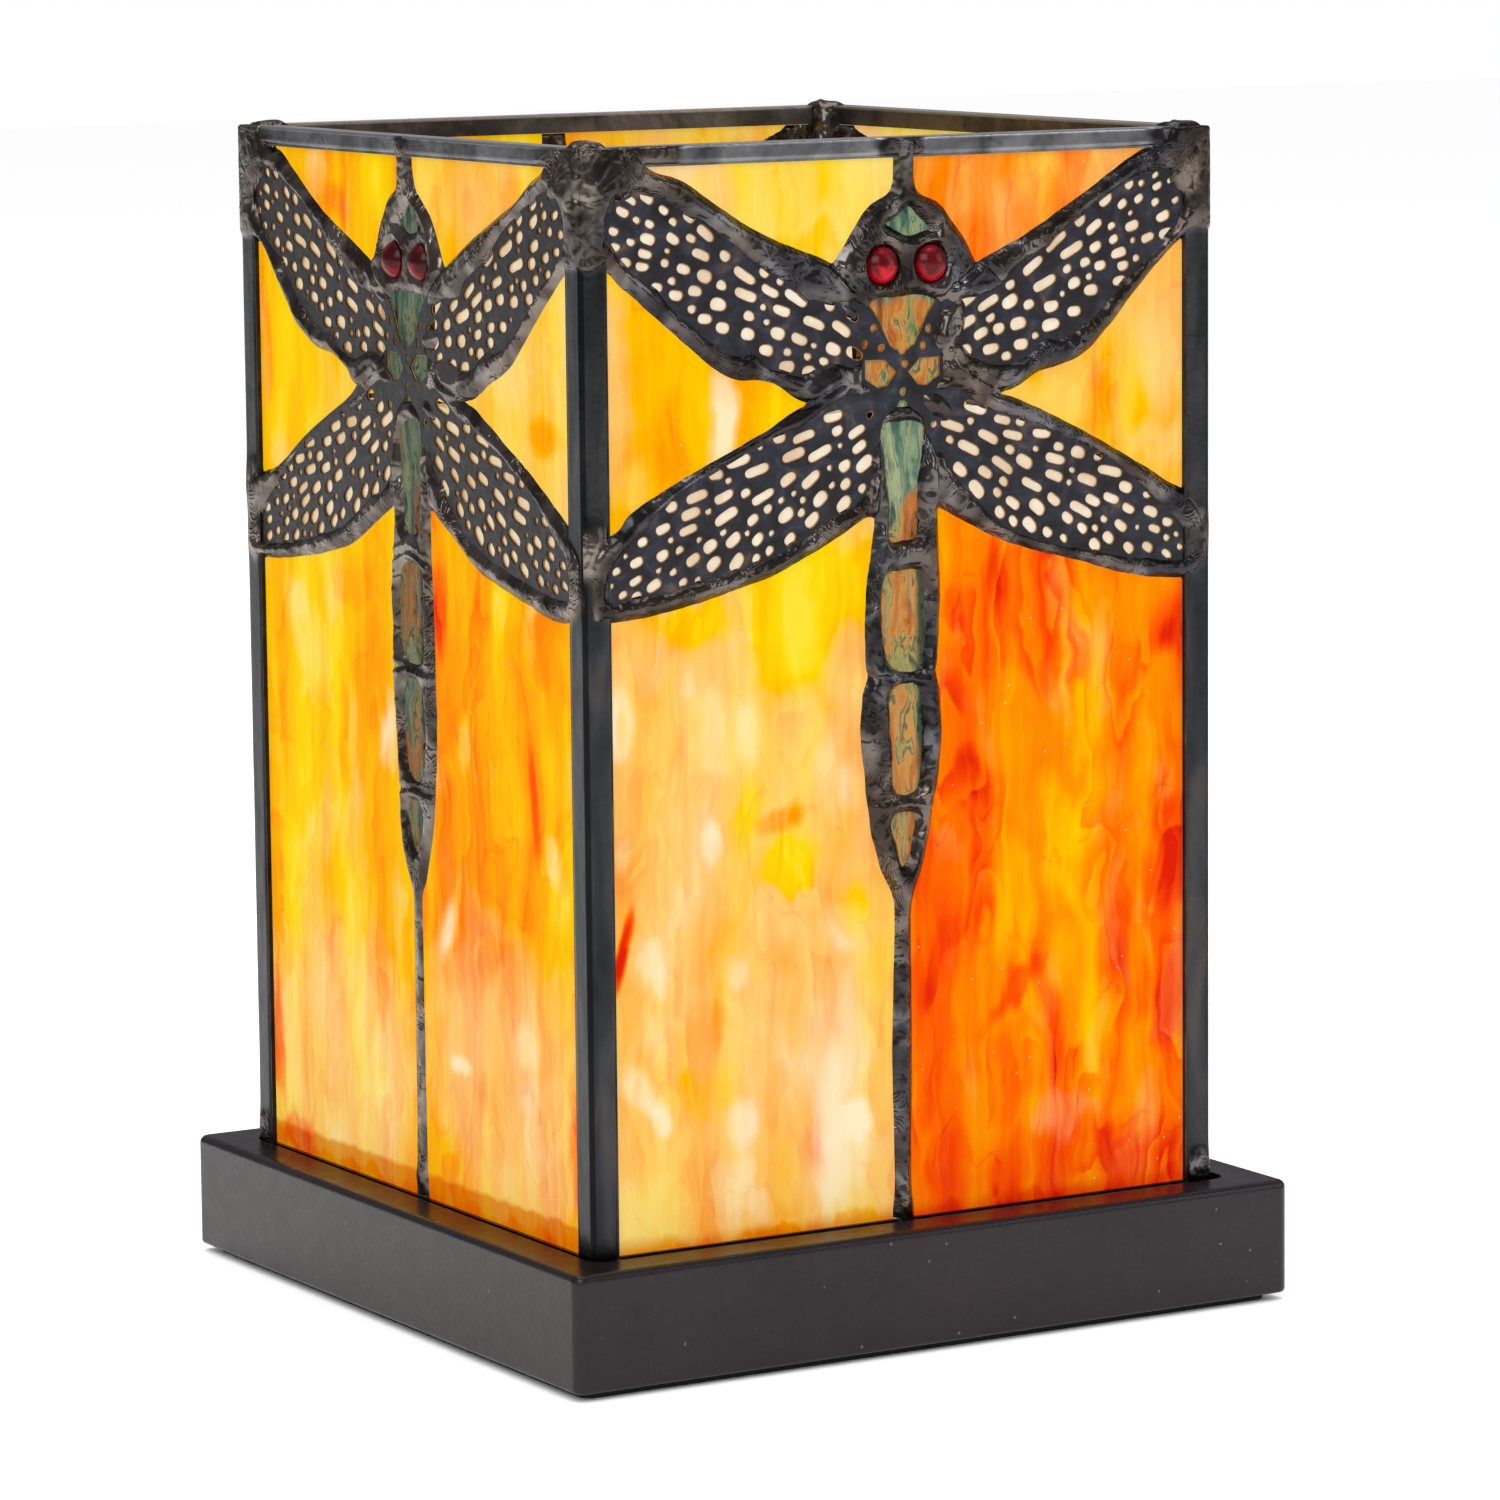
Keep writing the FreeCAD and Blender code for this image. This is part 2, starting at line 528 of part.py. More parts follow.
def bulb_pieces():
    inner_r = CAP_R - CAP_THREAD_DEPTH - CAP_WALL
    tip_z = CAP_Z - TIP_DROP
    ledge_z = tip_z + TIP_H
    glass_foot = SOCKET_TOP
    outer = envelope(BULB_SIDE, glass_foot)
    inner_side = [(max(r - BULB_WALL, 0.0), h) for r, h in BULB_SIDE[:-1]]
    inner = envelope(inner_side + [(0.0, BULB_SIDE[-1][1] - BULB_WALL)], glass_foot)
    neck_r = inner_side[0][0]
    stem_top = glass_foot + STEM_H
    stem = turned_solid([(0, glass_foot), (neck_r, glass_foot), (STEM_R, glass_foot + STEM_FLARE_H),
                         (STEM_R, stem_top), (0, stem_top)])
    wire_low = Vector(0, 0, stem_top)
    half_span = FILAMENT_SPAN / 2
    coil_z = stem_top + SUPPORT_H
    filament = rod(WIRE_R, stem_top, stem_top + WIRE_R * 4)
    for hand in (-1, 1):
        foot = wire_low + Vector(0, 0, WIRE_R)
        top = Vector(hand * half_span, 0, coil_z)
        filament = filament.fuse(Part.makeCylinder(WIRE_R, (top - foot).Length, foot, top - foot))
    bar = Part.makeCylinder(COIL_R, FILAMENT_SPAN, Vector(-half_span, 0, coil_z), Vector(1, 0, 0))
    pieces = {"bulb_cap": threaded_cap()}
    pieces["bulb_insulator"] = turned_solid([(0, ledge_z), (TIP_R, ledge_z), (inner_r, CAP_Z),
                                             (inner_r, CAP_Z + INSULATOR_H), (0, CAP_Z + INSULATOR_H)])
    pieces["bulb_tip"] = turned_solid([(0, tip_z), (TIP_R * 0.7, tip_z), (TIP_R, ledge_z), (0, ledge_z)])
    pieces["bulb_glass"] = outer.cut(inner)
    pieces["bulb_stem"] = stem
    pieces["bulb_filament"] = filament.fuse(bar).removeSplitter()
    return pieces


# ---- assembly ----
def corner_seam():
    """The solder fillet up the inside of one corner of the shade, where two panels meet."""
    inner = GLASS_HALF_W
    z_low = RECESS_Z
    arc_middle = inner - SEAM_LEG * (1 - math.sqrt(0.5))
    corner = Vector(inner, -inner, z_low)
    along_front = Vector(inner - SEAM_LEG, -inner, z_low)
    along_side = Vector(inner, -inner + SEAM_LEG, z_low)
    middle = Vector(arc_middle, -arc_middle, z_low)
    edges = [Part.makeLine(along_side, corner), Part.makeLine(corner, along_front),
             Part.Arc(along_front, middle, along_side).toShape()]
    return Part.Face(Part.Wire(edges)).extrude(Vector(0, 0, LAMP_H - RECESS_Z))


def on_side(shape, turn):
    """A copy of a front panel's piece on another side of the shade, at the shade's place in its recess."""
    piece = shape.copy()
    piece.rotate(Vector(0, 0, 0), Z_UP, turn)
    piece.translate(Vector(SHADE_X, SHADE_Y, 0))
    return piece


def main():
    os.makedirs("parts", exist_ok=True)
    front = panel()
    rails = [level_channel(LAMP_H, True), level_channel(RECESS_Z, False)]
    shared = {
        "wing_filigrees": front.pop("filigree"), "eye_jewels": front.pop("eyes"), "level_channels": rails,
        "corner_channels": post_channels(), "corner_seams": [corner_seam()],
    }
    for side, turn in SIDES.items():
        for name, solids in front.items():
            write(side + "_" + name, [on_side(solid, turn) for solid in solids])
    for name, solids in shared.items():
        write(name, [on_side(solid, turn) for turn in SIDES.values() for solid in solids])
    write("base_block", base_block())
    felt = rounded_block(BASE_W - 2 * FELT_INSET, 0.0, FELT_T, FELT_R)
    write("felt_pad", felt)
    write("cord_bushing", cord_bushing())
    for name, solids in {**socket_pieces(), **bulb_pieces()}.items():
        write(name, solids)


main()
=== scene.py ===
import math

import bmesh
import bpy
import numpy as np
from mathutils import Matrix, Vector
from mathutils import noise as blender_noise


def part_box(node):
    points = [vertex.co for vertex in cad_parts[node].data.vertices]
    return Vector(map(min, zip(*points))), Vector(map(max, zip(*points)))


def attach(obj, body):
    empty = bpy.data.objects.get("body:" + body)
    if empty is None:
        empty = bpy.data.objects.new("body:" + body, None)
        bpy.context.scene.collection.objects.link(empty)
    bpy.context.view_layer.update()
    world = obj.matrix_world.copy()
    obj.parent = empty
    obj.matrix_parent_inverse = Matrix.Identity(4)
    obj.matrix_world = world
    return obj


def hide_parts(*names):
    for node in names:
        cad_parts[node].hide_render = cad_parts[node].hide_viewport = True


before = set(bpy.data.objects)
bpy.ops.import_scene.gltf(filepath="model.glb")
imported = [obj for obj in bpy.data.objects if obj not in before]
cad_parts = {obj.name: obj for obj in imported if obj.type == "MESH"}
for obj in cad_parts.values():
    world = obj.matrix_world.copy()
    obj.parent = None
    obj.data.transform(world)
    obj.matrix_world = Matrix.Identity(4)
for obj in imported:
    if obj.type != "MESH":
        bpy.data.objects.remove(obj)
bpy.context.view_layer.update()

MM = 0.001

# ---- the shade's own frame, from the CAD model ----
POSTS_LOW, POSTS_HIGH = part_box("corner_channels")
RIM_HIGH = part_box("level_channels")[1]
SHADE_MIDDLE = (POSTS_LOW + POSTS_HIGH) / 2
HALF = (POSTS_HIGH.x - POSTS_LOW.x) / 2 / MM
TOP = RIM_HIGH.z / MM
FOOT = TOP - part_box("level_channels")[0].z / MM
GLASS_DEPTH = 0.7          # glass face behind the outer face of the metal channels
GLASS_T = 2.6
SIDES = {"front": 0, "right": 90, "back": 180, "left": -90}
SCREEN = {"front": 1, "left": 1, "right": -1, "back": -1}     # -1: the other side's drawing, mirrored
# from mm about the shade's upright axis to the row frame in metres
TO_SHADE = Matrix.Translation(Vector((SHADE_MIDDLE.x, SHADE_MIDDLE.y, 0))) @ Matrix.Scale(MM, 4)


def panel_matrix(side):
    """Takes (across, up from the rim's top, outwards from the channels' face), in mm, to the row frame."""
    turn = Matrix.Rotation(math.radians(SIDES[side]), 4, "Z")
    basis = Matrix(((1, 0, 0, 0), (0, 0, -1, -HALF), (0, 1, 0, TOP), (0, 0, 0, 1)))
    return TO_SHADE @ turn @ basis


# ---- numpy helpers ----
def hashed(ix, iy, seed):
    """A repeatable value from 0 to 1 for each lattice point."""
    n = (ix * 374761393 + iy * 668265263 + seed * 2147483647 + seed * 1013) & 0xFFFFFFFF
    n = ((n ^ (n >> 13)) * 1274126177) & 0xFFFFFFFF
    n = (n ^ (n >> 16)) & 0xFFFFFFFF
    return n / 4294967295.0


def noise(x, y, seed):
    """Gradient noise, about -0.7 to 0.7."""
    ix, iy = np.floor(x).astype(np.int64), np.floor(y).astype(np.int64)
    fx, fy = x - ix, y - iy
    sx = fx * fx * fx * (fx * (fx * 6 - 15) + 10)
    sy = fy * fy * fy * (fy * (fy * 6 - 15) + 10)

    def corner(dx, dy):
        angle = hashed(ix + dx, iy + dy, seed) * 2 * math.pi
        return np.cos(angle) * (fx - dx) + np.sin(angle) * (fy - dy)

    top = corner(0, 0) * (1 - sx) + corner(1, 0) * sx
    low = corner(0, 1) * (1 - sx) + corner(1, 1) * sx
    return top * (1 - sy) + low * sy


def smooth_closed(points, per_span=8):
    """A closed Catmull-Rom curve through the points."""
    p = np.array(points, float)
    a, b, c, d = np.roll(p, 1, 0), p, np.roll(p, -1, 0), np.roll(p, -2, 0)
    out = []
    for t in np.arange(per_span) / per_span:
        out.append(0.5 * (2 * b + (c - a) * t + (2 * a - 5 * b + 4 * c - d) * t * t
                          + (3 * b - a - 3 * c + d) * t ** 3))
    return np.stack(out, 1).reshape(-1, 2)


def from_segment(u, v, start, end):
    """Distance from the straight line between two points."""
    (u0, v0), (u1, v1) = start, end
    du, dv = u1 - u0, v1 - v0
    t = np.clip(((u - u0) * du + (v - v0) * dv) / np.maximum(du * du + dv * dv, 1e-9), 0, 1)
    return np.hypot(u - u0 - t * du, v - v0 - t * dv)


def inside_depth(curve, us, vs, reach=4.5):
    """Signed distance from a closed curve on the grid, positive inside, clipped at reach."""
    u, v = np.meshgrid(us, vs)
    step = us[1] - us[0]
    dist = np.full(u.shape, reach)
    inside = np.zeros(u.shape, bool)

    def cells(a, b, first):
        low, high = int((min(a, b) - reach - first) / step), int((max(a, b) + reach - first) / step)
        return slice(max(low, 0), max(high + 2, 0))

    for (u0, v0), (u1, v1) in zip(curve, np.roll(curve, -1, 0)):
        near = cells(v0, v1, vs[0]), cells(u0, u1, us[0])
        dist[near] = np.minimum(dist[near], from_segment(u[near], v[near], (u0, v0), (u1, v1)))
        if v0 != v1:
            rows = (vs >= min(v0, v1)) & (vs < max(v0, v1))
            crossing = u0 + (vs[rows] - v0) / (v1 - v0) * (u1 - u0)
            inside[rows] ^= us[None, :] < crossing[:, None]
    return np.where(inside, dist, -dist)


def step_up(x, low, high):
    t = np.clip((x - low) / (high - low), 0, 1)
    return t * t * (3 - 2 * t)


# ---- the two drawings of the dragonfly: (across, down) in mm from the middle of the rim's top ----
FRONT = {
    "body": [  # down, left edge, right edge
        (-3, -1.2, 2.2), (3, -1.2, 2.2), (8, -1.8, 2.9), (10, -5.4, 6.6), (12.5, -7.6, 8.9),
        (15, -9.4, 10.8), (17.5, -11.2, 12.3), (21, -13, 13.5), (25, -9, 9), (33, -8.6, 8.8), (40, -8, 8),
        (46, -5.6, 6.2), (56, -5.0, 6.3), (61, -5.4, 6.3), (66, -6.3, 6.5), (72, -6.8, 6.5), (79, -6.7, 6.1),
        (81, -6.4, 5.8), (84, -7.3, 6.4), (90, -7.7, 6.7), (96, -7.1, 6.2), (101, -6.5, 5.2),
        (106, -5.7, 4.2), (111, -4.1, 3.0), (115, -2.2, 1.5), (118, -1.9, 1.0), (128, -2.2, 1.0),
        (140, -2.5, 1.0), (152, -2.3, 0.8), (160, -2.2, 0.8), (164, -2.6, 1.2), (170, -2.6, 1.2),
    ],
    "wings": [
        [(5, 26), (12.8, 19.8), (22, 15.6), (32, 10), (41.4, 4.4), (47, 1.5), (53, -4), (60, -4), (60, 14),
         (55.2, 16.5), (51.6, 16.6), (44.5, 22.5), (38, 29.4), (32, 34.4), (24.5, 36.4), (18.3, 39.1),
         (5, 40)],
        [(-5, 40), (-16.7, 39.0), (-23, 35.6), (-30.5, 34.4), (-39, 28), (-48, 20.6), (-51.2, 18),
         (-55, 18.5), (-60, 14), (-60, -4), (-50, -4), (-43.6, 3.1), (-37.5, 5.4), (-30.5, 10),
         (-22.4, 14.4), (-12, 18.6), (-5, 25)],
        [(4, 37), (18.3, 39.6), (27, 43.1), (37, 48.1), (47, 53.8), (52.3, 56.9), (54.9, 61.5), (55.2, 66),
         (52.5, 69.3), (45.8, 69.2), (39.5, 68.1), (32, 65.8), (24.5, 63.9), (18.3, 61.9), (12, 59),
         (7, 56.3), (4, 55)],
        [(-4, 55), (-6.8, 56.9), (-12, 59.8), (-18, 62.6), (-24.3, 65), (-39.3, 68.5), (-50.5, 69.8),
         (-54.5, 69.4), (-55, 64), (-53.5, 58.4), (-49.3, 56.3), (-46, 53.1), (-34.3, 47.5), (-24.3, 43.1),
         (-16.7, 39.4), (-4, 37)],
    ],
    "crown": [(-2.8, 13.0), (-0.6, 11.8), (1.3, 10.4), (3.2, 12.0), (5.2, 13.9), (3.4, 14.4), (1.2, 14.9),
              (-1.2, 14.2)],
    "abdomen": [
        [(-3.6, 43.2), (-0.5, 42.6), (3.6, 43.4), (3.2, 49), (2.6, 55), (2.4, 60), (0, 60.7), (-2.3, 60.2),
         (-2.5, 54), (-3.2, 48)],
        [(-3.2, 65.8), (0, 65.2), (3.3, 65.8), (4.0, 72), (3.6, 78), (2.6, 80.6), (-1.5, 80.4), (-3.4, 77),
         (-3.8, 71)],
        [(-2.2, 83.4), (2.6, 83), (3.2, 89), (2.9, 96), (1.8, 99), (-1.6, 98.8), (-2.2, 92)],
        [(-2.2, 102.7), (1.8, 102.6), (1.3, 107), (-0.4, 110.6), (-1.6, 107)],
    ],
    "creases": [
        [(5.5, 25.3), (9, 22.6), (13, 20)], [(-5.5, 24.8), (-9, 22.4), (-12.5, 18.4)],
        [(-6.6, 81), (0, 81.6), (5.9, 81.2)], [(-6.8, 100.2), (-1, 99.9), (4.6, 100.4)],
        [(17.8, 39), (12, 36), (9, 33)], [(-16.7, 39.3), (-11, 36.5)], [(10, 57), (14, 52), (11, 47)],
        [(-7, 57), (-5.4, 50)], [(6, 57), (5.6, 49)], [(15, 20), (18.5, 23)],
    ],
    "lumps": [  # across, down, radius, height
        (6.8, 31.5, 2.6, 0.7), (-50.5, 6.5, 5.0, 0.7), (50.6, 10.5, 4.5, 0.8), (-47, 8, 4.0, 0.3),
        (48, 2.8, 4.0, 0.6), (18, 21.2, 3.2, 0.5), (0.5, 1.4, 3.0, 0.6), (52, 62, 3.6, 0.4),
        (11.5, 54, 4.5, 0.35), (-1, 162, 2.6, 0.5), (53.3, 163, 3.0, 0.5), (-45.5, 1.8, 4.0, 0.7),
        (-41, 1.2, 3.0, 0.45), (-53, 59.5, 4.0, 0.5), (22.5, 34.3, 3.0, 0.4), (-12, 36.5, 4.0, 0.4),
        (12.5, 36.5, 3.6, 0.4), (37, 7.5, 5.0, 0.25), (-3, 1.6, 2.0, 0.3),
    ],
    "drops": [  # across, down, half length, half width, tilt
        (8.6, 28.6, 4.4, 2.6, -62), (9.6, 33.4, 3.0, 2.2, 40), (6.2, 40.6, 3.4, 1.8, 35),
        (-12.5, 38.0, 4.5, 1.8, -15), (13.5, 36.6, 4.6, 2.2, 5), (10.5, 23.2, 3.4, 1.6, -30),
        (-9.5, 25.4, 2.4, 0.9, 35), (-48.8, 5.6, 3.4, 2.2, 10), (14.6, 40.2, 3.0, 1.2, 20),
    ],
    "body_rise": 0.45,
    "seed": 3,
}
LEFT = {
    "body": [
        (-3, -2.4, 2.2), (3, -2.4, 2.0), (7.5, -2.9, 3.0), (9.5, -5.6, 5.0), (12, -7.4, 7.9),
        (15, -8.8, 9.9), (18, -10.2, 11.4), (21, -12, 12.5), (25, -9, 9), (33, -8.8, 8.8), (40, -8, 8),
        (46, -5.8, 6.2), (56, -5.2, 6.4), (61, -5.7, 6.4), (66, -6.3, 6.5), (72, -6.7, 6.9), (79, -6.4, 7.1),
        (85, -6.6, 7.2), (90, -6.0, 7.3), (96, -5.6, 7.0), (101, -5.2, 6.4), (106, -5.1, 5.7),
        (111, -4.0, 4.2), (115, -2.4, 2.8), (118, -1.4, 1.5), (128, -1.5, 1.6), (140, -1.5, 1.6),
        (152, -1.6, 1.7), (160, -1.8, 1.8), (170, -2.2, 2.2),
    ],
    "wings": [
        [(5, 26), (11.4, 20.2), (19.5, 15.6), (27, 12.1), (34.5, 8.8), (39.5, 5.6), (45, 2.8), (52, -4),
         (60, -4), (60, 16), (55, 18.2), (50.8, 18.2), (47, 20.8), (42, 25), (37, 29.4), (32, 33.6),
         (25.8, 36.3), (19.5, 39.1), (5, 40)],
        [(-5, 40), (-16, 39.5), (-19.3, 37.5), (-25.5, 34.9), (-31.8, 33.8), (-38, 30), (-42.4, 25.8),
         (-49.5, 18.8), (-55, 18.4), (-60, 16), (-60, -4), (-50, -4), (-46, 2.8), (-42.4, 3.8), (-36.8, 7.3),
         (-30.5, 11.3), (-23.6, 14.6), (-11, 20.2), (-5, 26)],
        [(4, 37), (19.5, 39.8), (24.5, 41.9), (32, 45.6), (39.5, 49.4), (45.8, 53.1), (50.8, 56.3),
         (54.6, 59.8), (55.2, 65), (54.2, 68.8), (50.8, 69.9), (44.5, 70), (35.8, 68.2), (27, 66.3),
         (20.8, 64.4), (15.8, 61.5), (8.3, 57.3), (4, 55)],
        [(-4, 55), (-6, 57.2), (-13, 60.8), (-19.3, 64), (-25.5, 65.6), (-33, 67.1), (-43, 68.5),
         (-49.3, 69), (-54, 68.6), (-55.3, 63), (-54.2, 57), (-50.5, 55.2), (-46.8, 54.4), (-39.3, 50.9),
         (-30.5, 46.8), (-21.8, 43.0), (-16, 40.3), (-4, 37)],
    ],
    "crown": [(-2.8, 13.4), (-0.8, 12.2), (0.8, 10.6), (2.4, 12.2), (3.8, 14.0), (2.2, 14.6), (0.4, 14.8),
              (-1.4, 14.4)],
    "abdomen": [
        [(-3.2, 45), (0, 43.4), (3.6, 44.4), (4.0, 49), (3.0, 55), (2.6, 60), (0.4, 61), (-2.0, 60),
         (-2.6, 54), (-3.2, 49)],
        [(-3.4, 66.4), (0.2, 65.4), (3.4, 66.6), (4.0, 72), (3.9, 78), (2.4, 80.8), (-2.3, 80.6), (-4.0, 77),
         (-4.1, 71)],
        [(-2.8, 84.4), (0.6, 83.6), (3.2, 86), (3.5, 94), (1.6, 99.2), (-1.7, 98.2), (-3.4, 92)],
        [(-2.5, 103.2), (0.2, 102.4), (2.3, 104.6), (1.8, 108.2), (0.2, 110.6), (-2.2, 107)],
    ],
    "creases": [
        [(5.5, 25.3), (9, 22.6), (11.6, 20.4)], [(-5.5, 25.3), (-9, 22.6), (-11, 20.4)],
        [(-6.3, 82), (0, 81.6), (6.8, 82)], [(-5.2, 101), (0, 100.4), (6, 101)],
        [(19, 39.4), (13, 37), (9, 34)], [(-16, 39.9), (-11, 37)], [(-6, 57), (-5.4, 50)],
        [(7, 57), (6, 49)], [(-6, 65), (0, 63.4), (6, 65)],
    ],
    "lumps": [
        (-50.5, 5.5, 5.0, 0.8), (50.2, 7, 5.0, 0.8), (-47, 12, 4.0, 0.3), (47, 4.2, 4.0, 0.5),
        (-15.5, 37, 3.6, 0.5), (0.2, 1.2, 2.6, 0.25), (-52.5, 57.5, 4.0, 0.5), (-51.5, 66, 3.4, 0.5),
        (51, 66, 3.6, 0.5), (13, 36.5, 3.4, 0.4), (0.2, 161.5, 2.6, 0.6), (-53.3, 163, 3.0, 0.5),
        (-36, 31.5, 4.0, 0.3), (30, 33.5, 4.0, 0.3), (-6, 36.5, 2.6, 0.4), (7, 30.5, 2.2, 0.5),
        (-41, 8.5, 6.0, 0.25),
    ],
    "drops": [
        (-13.5, 37.6, 4.4, 1.9, -15), (13.0, 37.2, 4.0, 1.8, 10), (7.5, 30.6, 2.6, 1.6, -20),
        (-8.6, 24.6, 2.6, 1.1, 30), (9.0, 24.0, 3.0, 1.2, -25), (6.6, 41.2, 2.4, 1.4, 30),
        (49.0, 6.2, 3.2, 2.0, -20),
    ],
    "body_rise": -0.25,
    "seed": 11,
}
DRAWING = {"front": FRONT, "left": LEFT, "right": FRONT, "back": LEFT}
UPPER_WINDOW = [(16.5, 24), (20, 21), (25, 18.4), (29, 15.4), (34, 12), (39, 9.4), (43, 7.5), (47.5, 6.6),
                (50.3, 8.6), (50.4, 13), (47, 17.6), (43, 20.3), (38.5, 24.6), (34.5, 28), (29, 31),
                (25.5, 31.2), (22, 33.6), (17, 34.6), (12, 33.2), (8, 33.4), (7, 28), (10, 25)]
LOWER_WINDOW = [(8, 38.4), (12, 39.5), (17, 42.5), (21, 43.5), (27, 46), (33, 48.5), (38.5, 51.5), (43, 55),
                (47, 58.5), (50.3, 61.5), (51.4, 64.5), (51, 66.3), (47, 66.2), (41, 65.5), (36, 64.5),
                (31, 63.5), (26.5, 62.5), (21.5, 60.8), (17, 58.5), (13, 55), (9.5, 51.5), (7, 47.5),
                (6, 43)]
# inner end of the left wing's lower window
NEAR_BODY = [(13, 56.2), (9, 54.8), (6.2, 52), (5.3, 47.5), (5.0, 43)]
FILIGREE_RIGHT = [(0.5, 32.6), (2.2, 31.2), (5.2, 25.8), (8.5, 23.0), (13, 21.2), (20, 18.2), (29, 13.6),
                  (38, 8.2), (46, 4.8), (52.4, 5.4), (52.6, 13.0), (48, 18.2), (42, 23.4), (36, 28.6),
                  (30, 32.2), (24, 34), (16.5, 37.2), (18.6, 40.6), (26.5, 44.3), (35.5, 48.6), (44, 53.9),
                  (50, 58.4), (53.0, 63.4), (52.0, 67.0), (44, 67.0), (35, 65.2), (26, 63.2), (18, 60.0),
                  (12, 57.4), (7.4, 55.4), (4.7, 52.0), (4.2, 47), (3.6, 42.4), (0.5, 39.4)]
THORAX = [(-5.2, 24.6), (0.5, 23.8), (6.2, 24.6), (6.6, 30), (6.4, 36.6), (3.4, 38.8), (2.2, 40.3),
          (-1.8, 40.3), (-2.8, 38.8), (-6.0, 36.6), (-6.2, 30)]
BRIDGE_RIGHT = [(0.4, 32.8), (2.2, 31.3), (5.2, 25.8), (8.6, 24.6), (11.4, 25.9), (12.6, 28.6), (11.2, 31.4),
                (8.8, 32.6), (6.8, 33.0), (6.9, 36.4), (4.4, 37.7), (7.4, 38.6), (9.6, 40.6), (10.4, 44.0),
                (9.0, 47.0), (6.0, 47.5), (3.4, 42.0), (0.4, 39.2)]
SIDE_HOLE = [(0.9, 35.2), (3.0, 33.2), (6.7, 33.1), (6.7, 36.0), (4.4, 37.5), (2.6, 37.2)]
BRIDGE_HOLES = [(0.4, 34.0), (0.0, 38.2), (4.6, 28.9), (6.8, 30.6), (3.7, 31.4), (-5.0, 28.4), (-6.6, 30.8),
                (-3.7, 31.4), (5.6, 43.4), (-5.8, 41.4)]
EYES = [(-3.6, 19.0), (5.0, 19.0)]
EYE_ACROSS, EYE_DOWN = 2.3, 2.5          # half sizes of the openings over the red eyes
POST_EDGE = 51.0                         # from a panel's middle to the inner edge of its corner channels
RAIL_DEPTH = 3.0                         # height of the channels along a panel's top and foot


def mirrored(points):
    return [(-u, v) for u, v in reversed(points)]


# ---- solder relief ----
def bead(depth, width):
    """Rounded edge: 0 at the edge of the metal, 1 from width inwards."""
    return np.sin(np.clip(depth / width, 0, 1) * math.pi / 2)


def mound(u, v, across, down, radius):
    return np.exp(-((u - across) ** 2 + (v - down) ** 2) / radius ** 2 * 1.2)


def body_curve(rows):
    left = [(left, down) for down, left, right in rows]
    right = [(right, down) for down, left, right in rows]
    return smooth_closed(left + right[::-1])


def pits(us, vs, metal, seed):
    """Pinholes where flux boiled through the solder, scattered along the bead."""
    rng = np.random.default_rng(seed)
    depth = np.zeros(metal.shape)
    reach = 4
    for _ in range(260):
        j = int(rng.integers(reach, len(us) - reach))
        i = int(rng.integers(reach, len(vs) * 0.45))
        size = rng.uniform(0.28, 0.5)
        if not 0.7 < metal[i, j] < 2.6:
            continue
        rows, cols = slice(max(i - reach, 0), i + reach + 1), slice(j - reach, j + reach + 1)
        away2 = ((us[None, cols] - us[j]) ** 2 + (vs[rows, None] - vs[i]) ** 2) / size ** 2
        depth[rows, cols] += 0.7 * np.exp(-away2)
    return depth


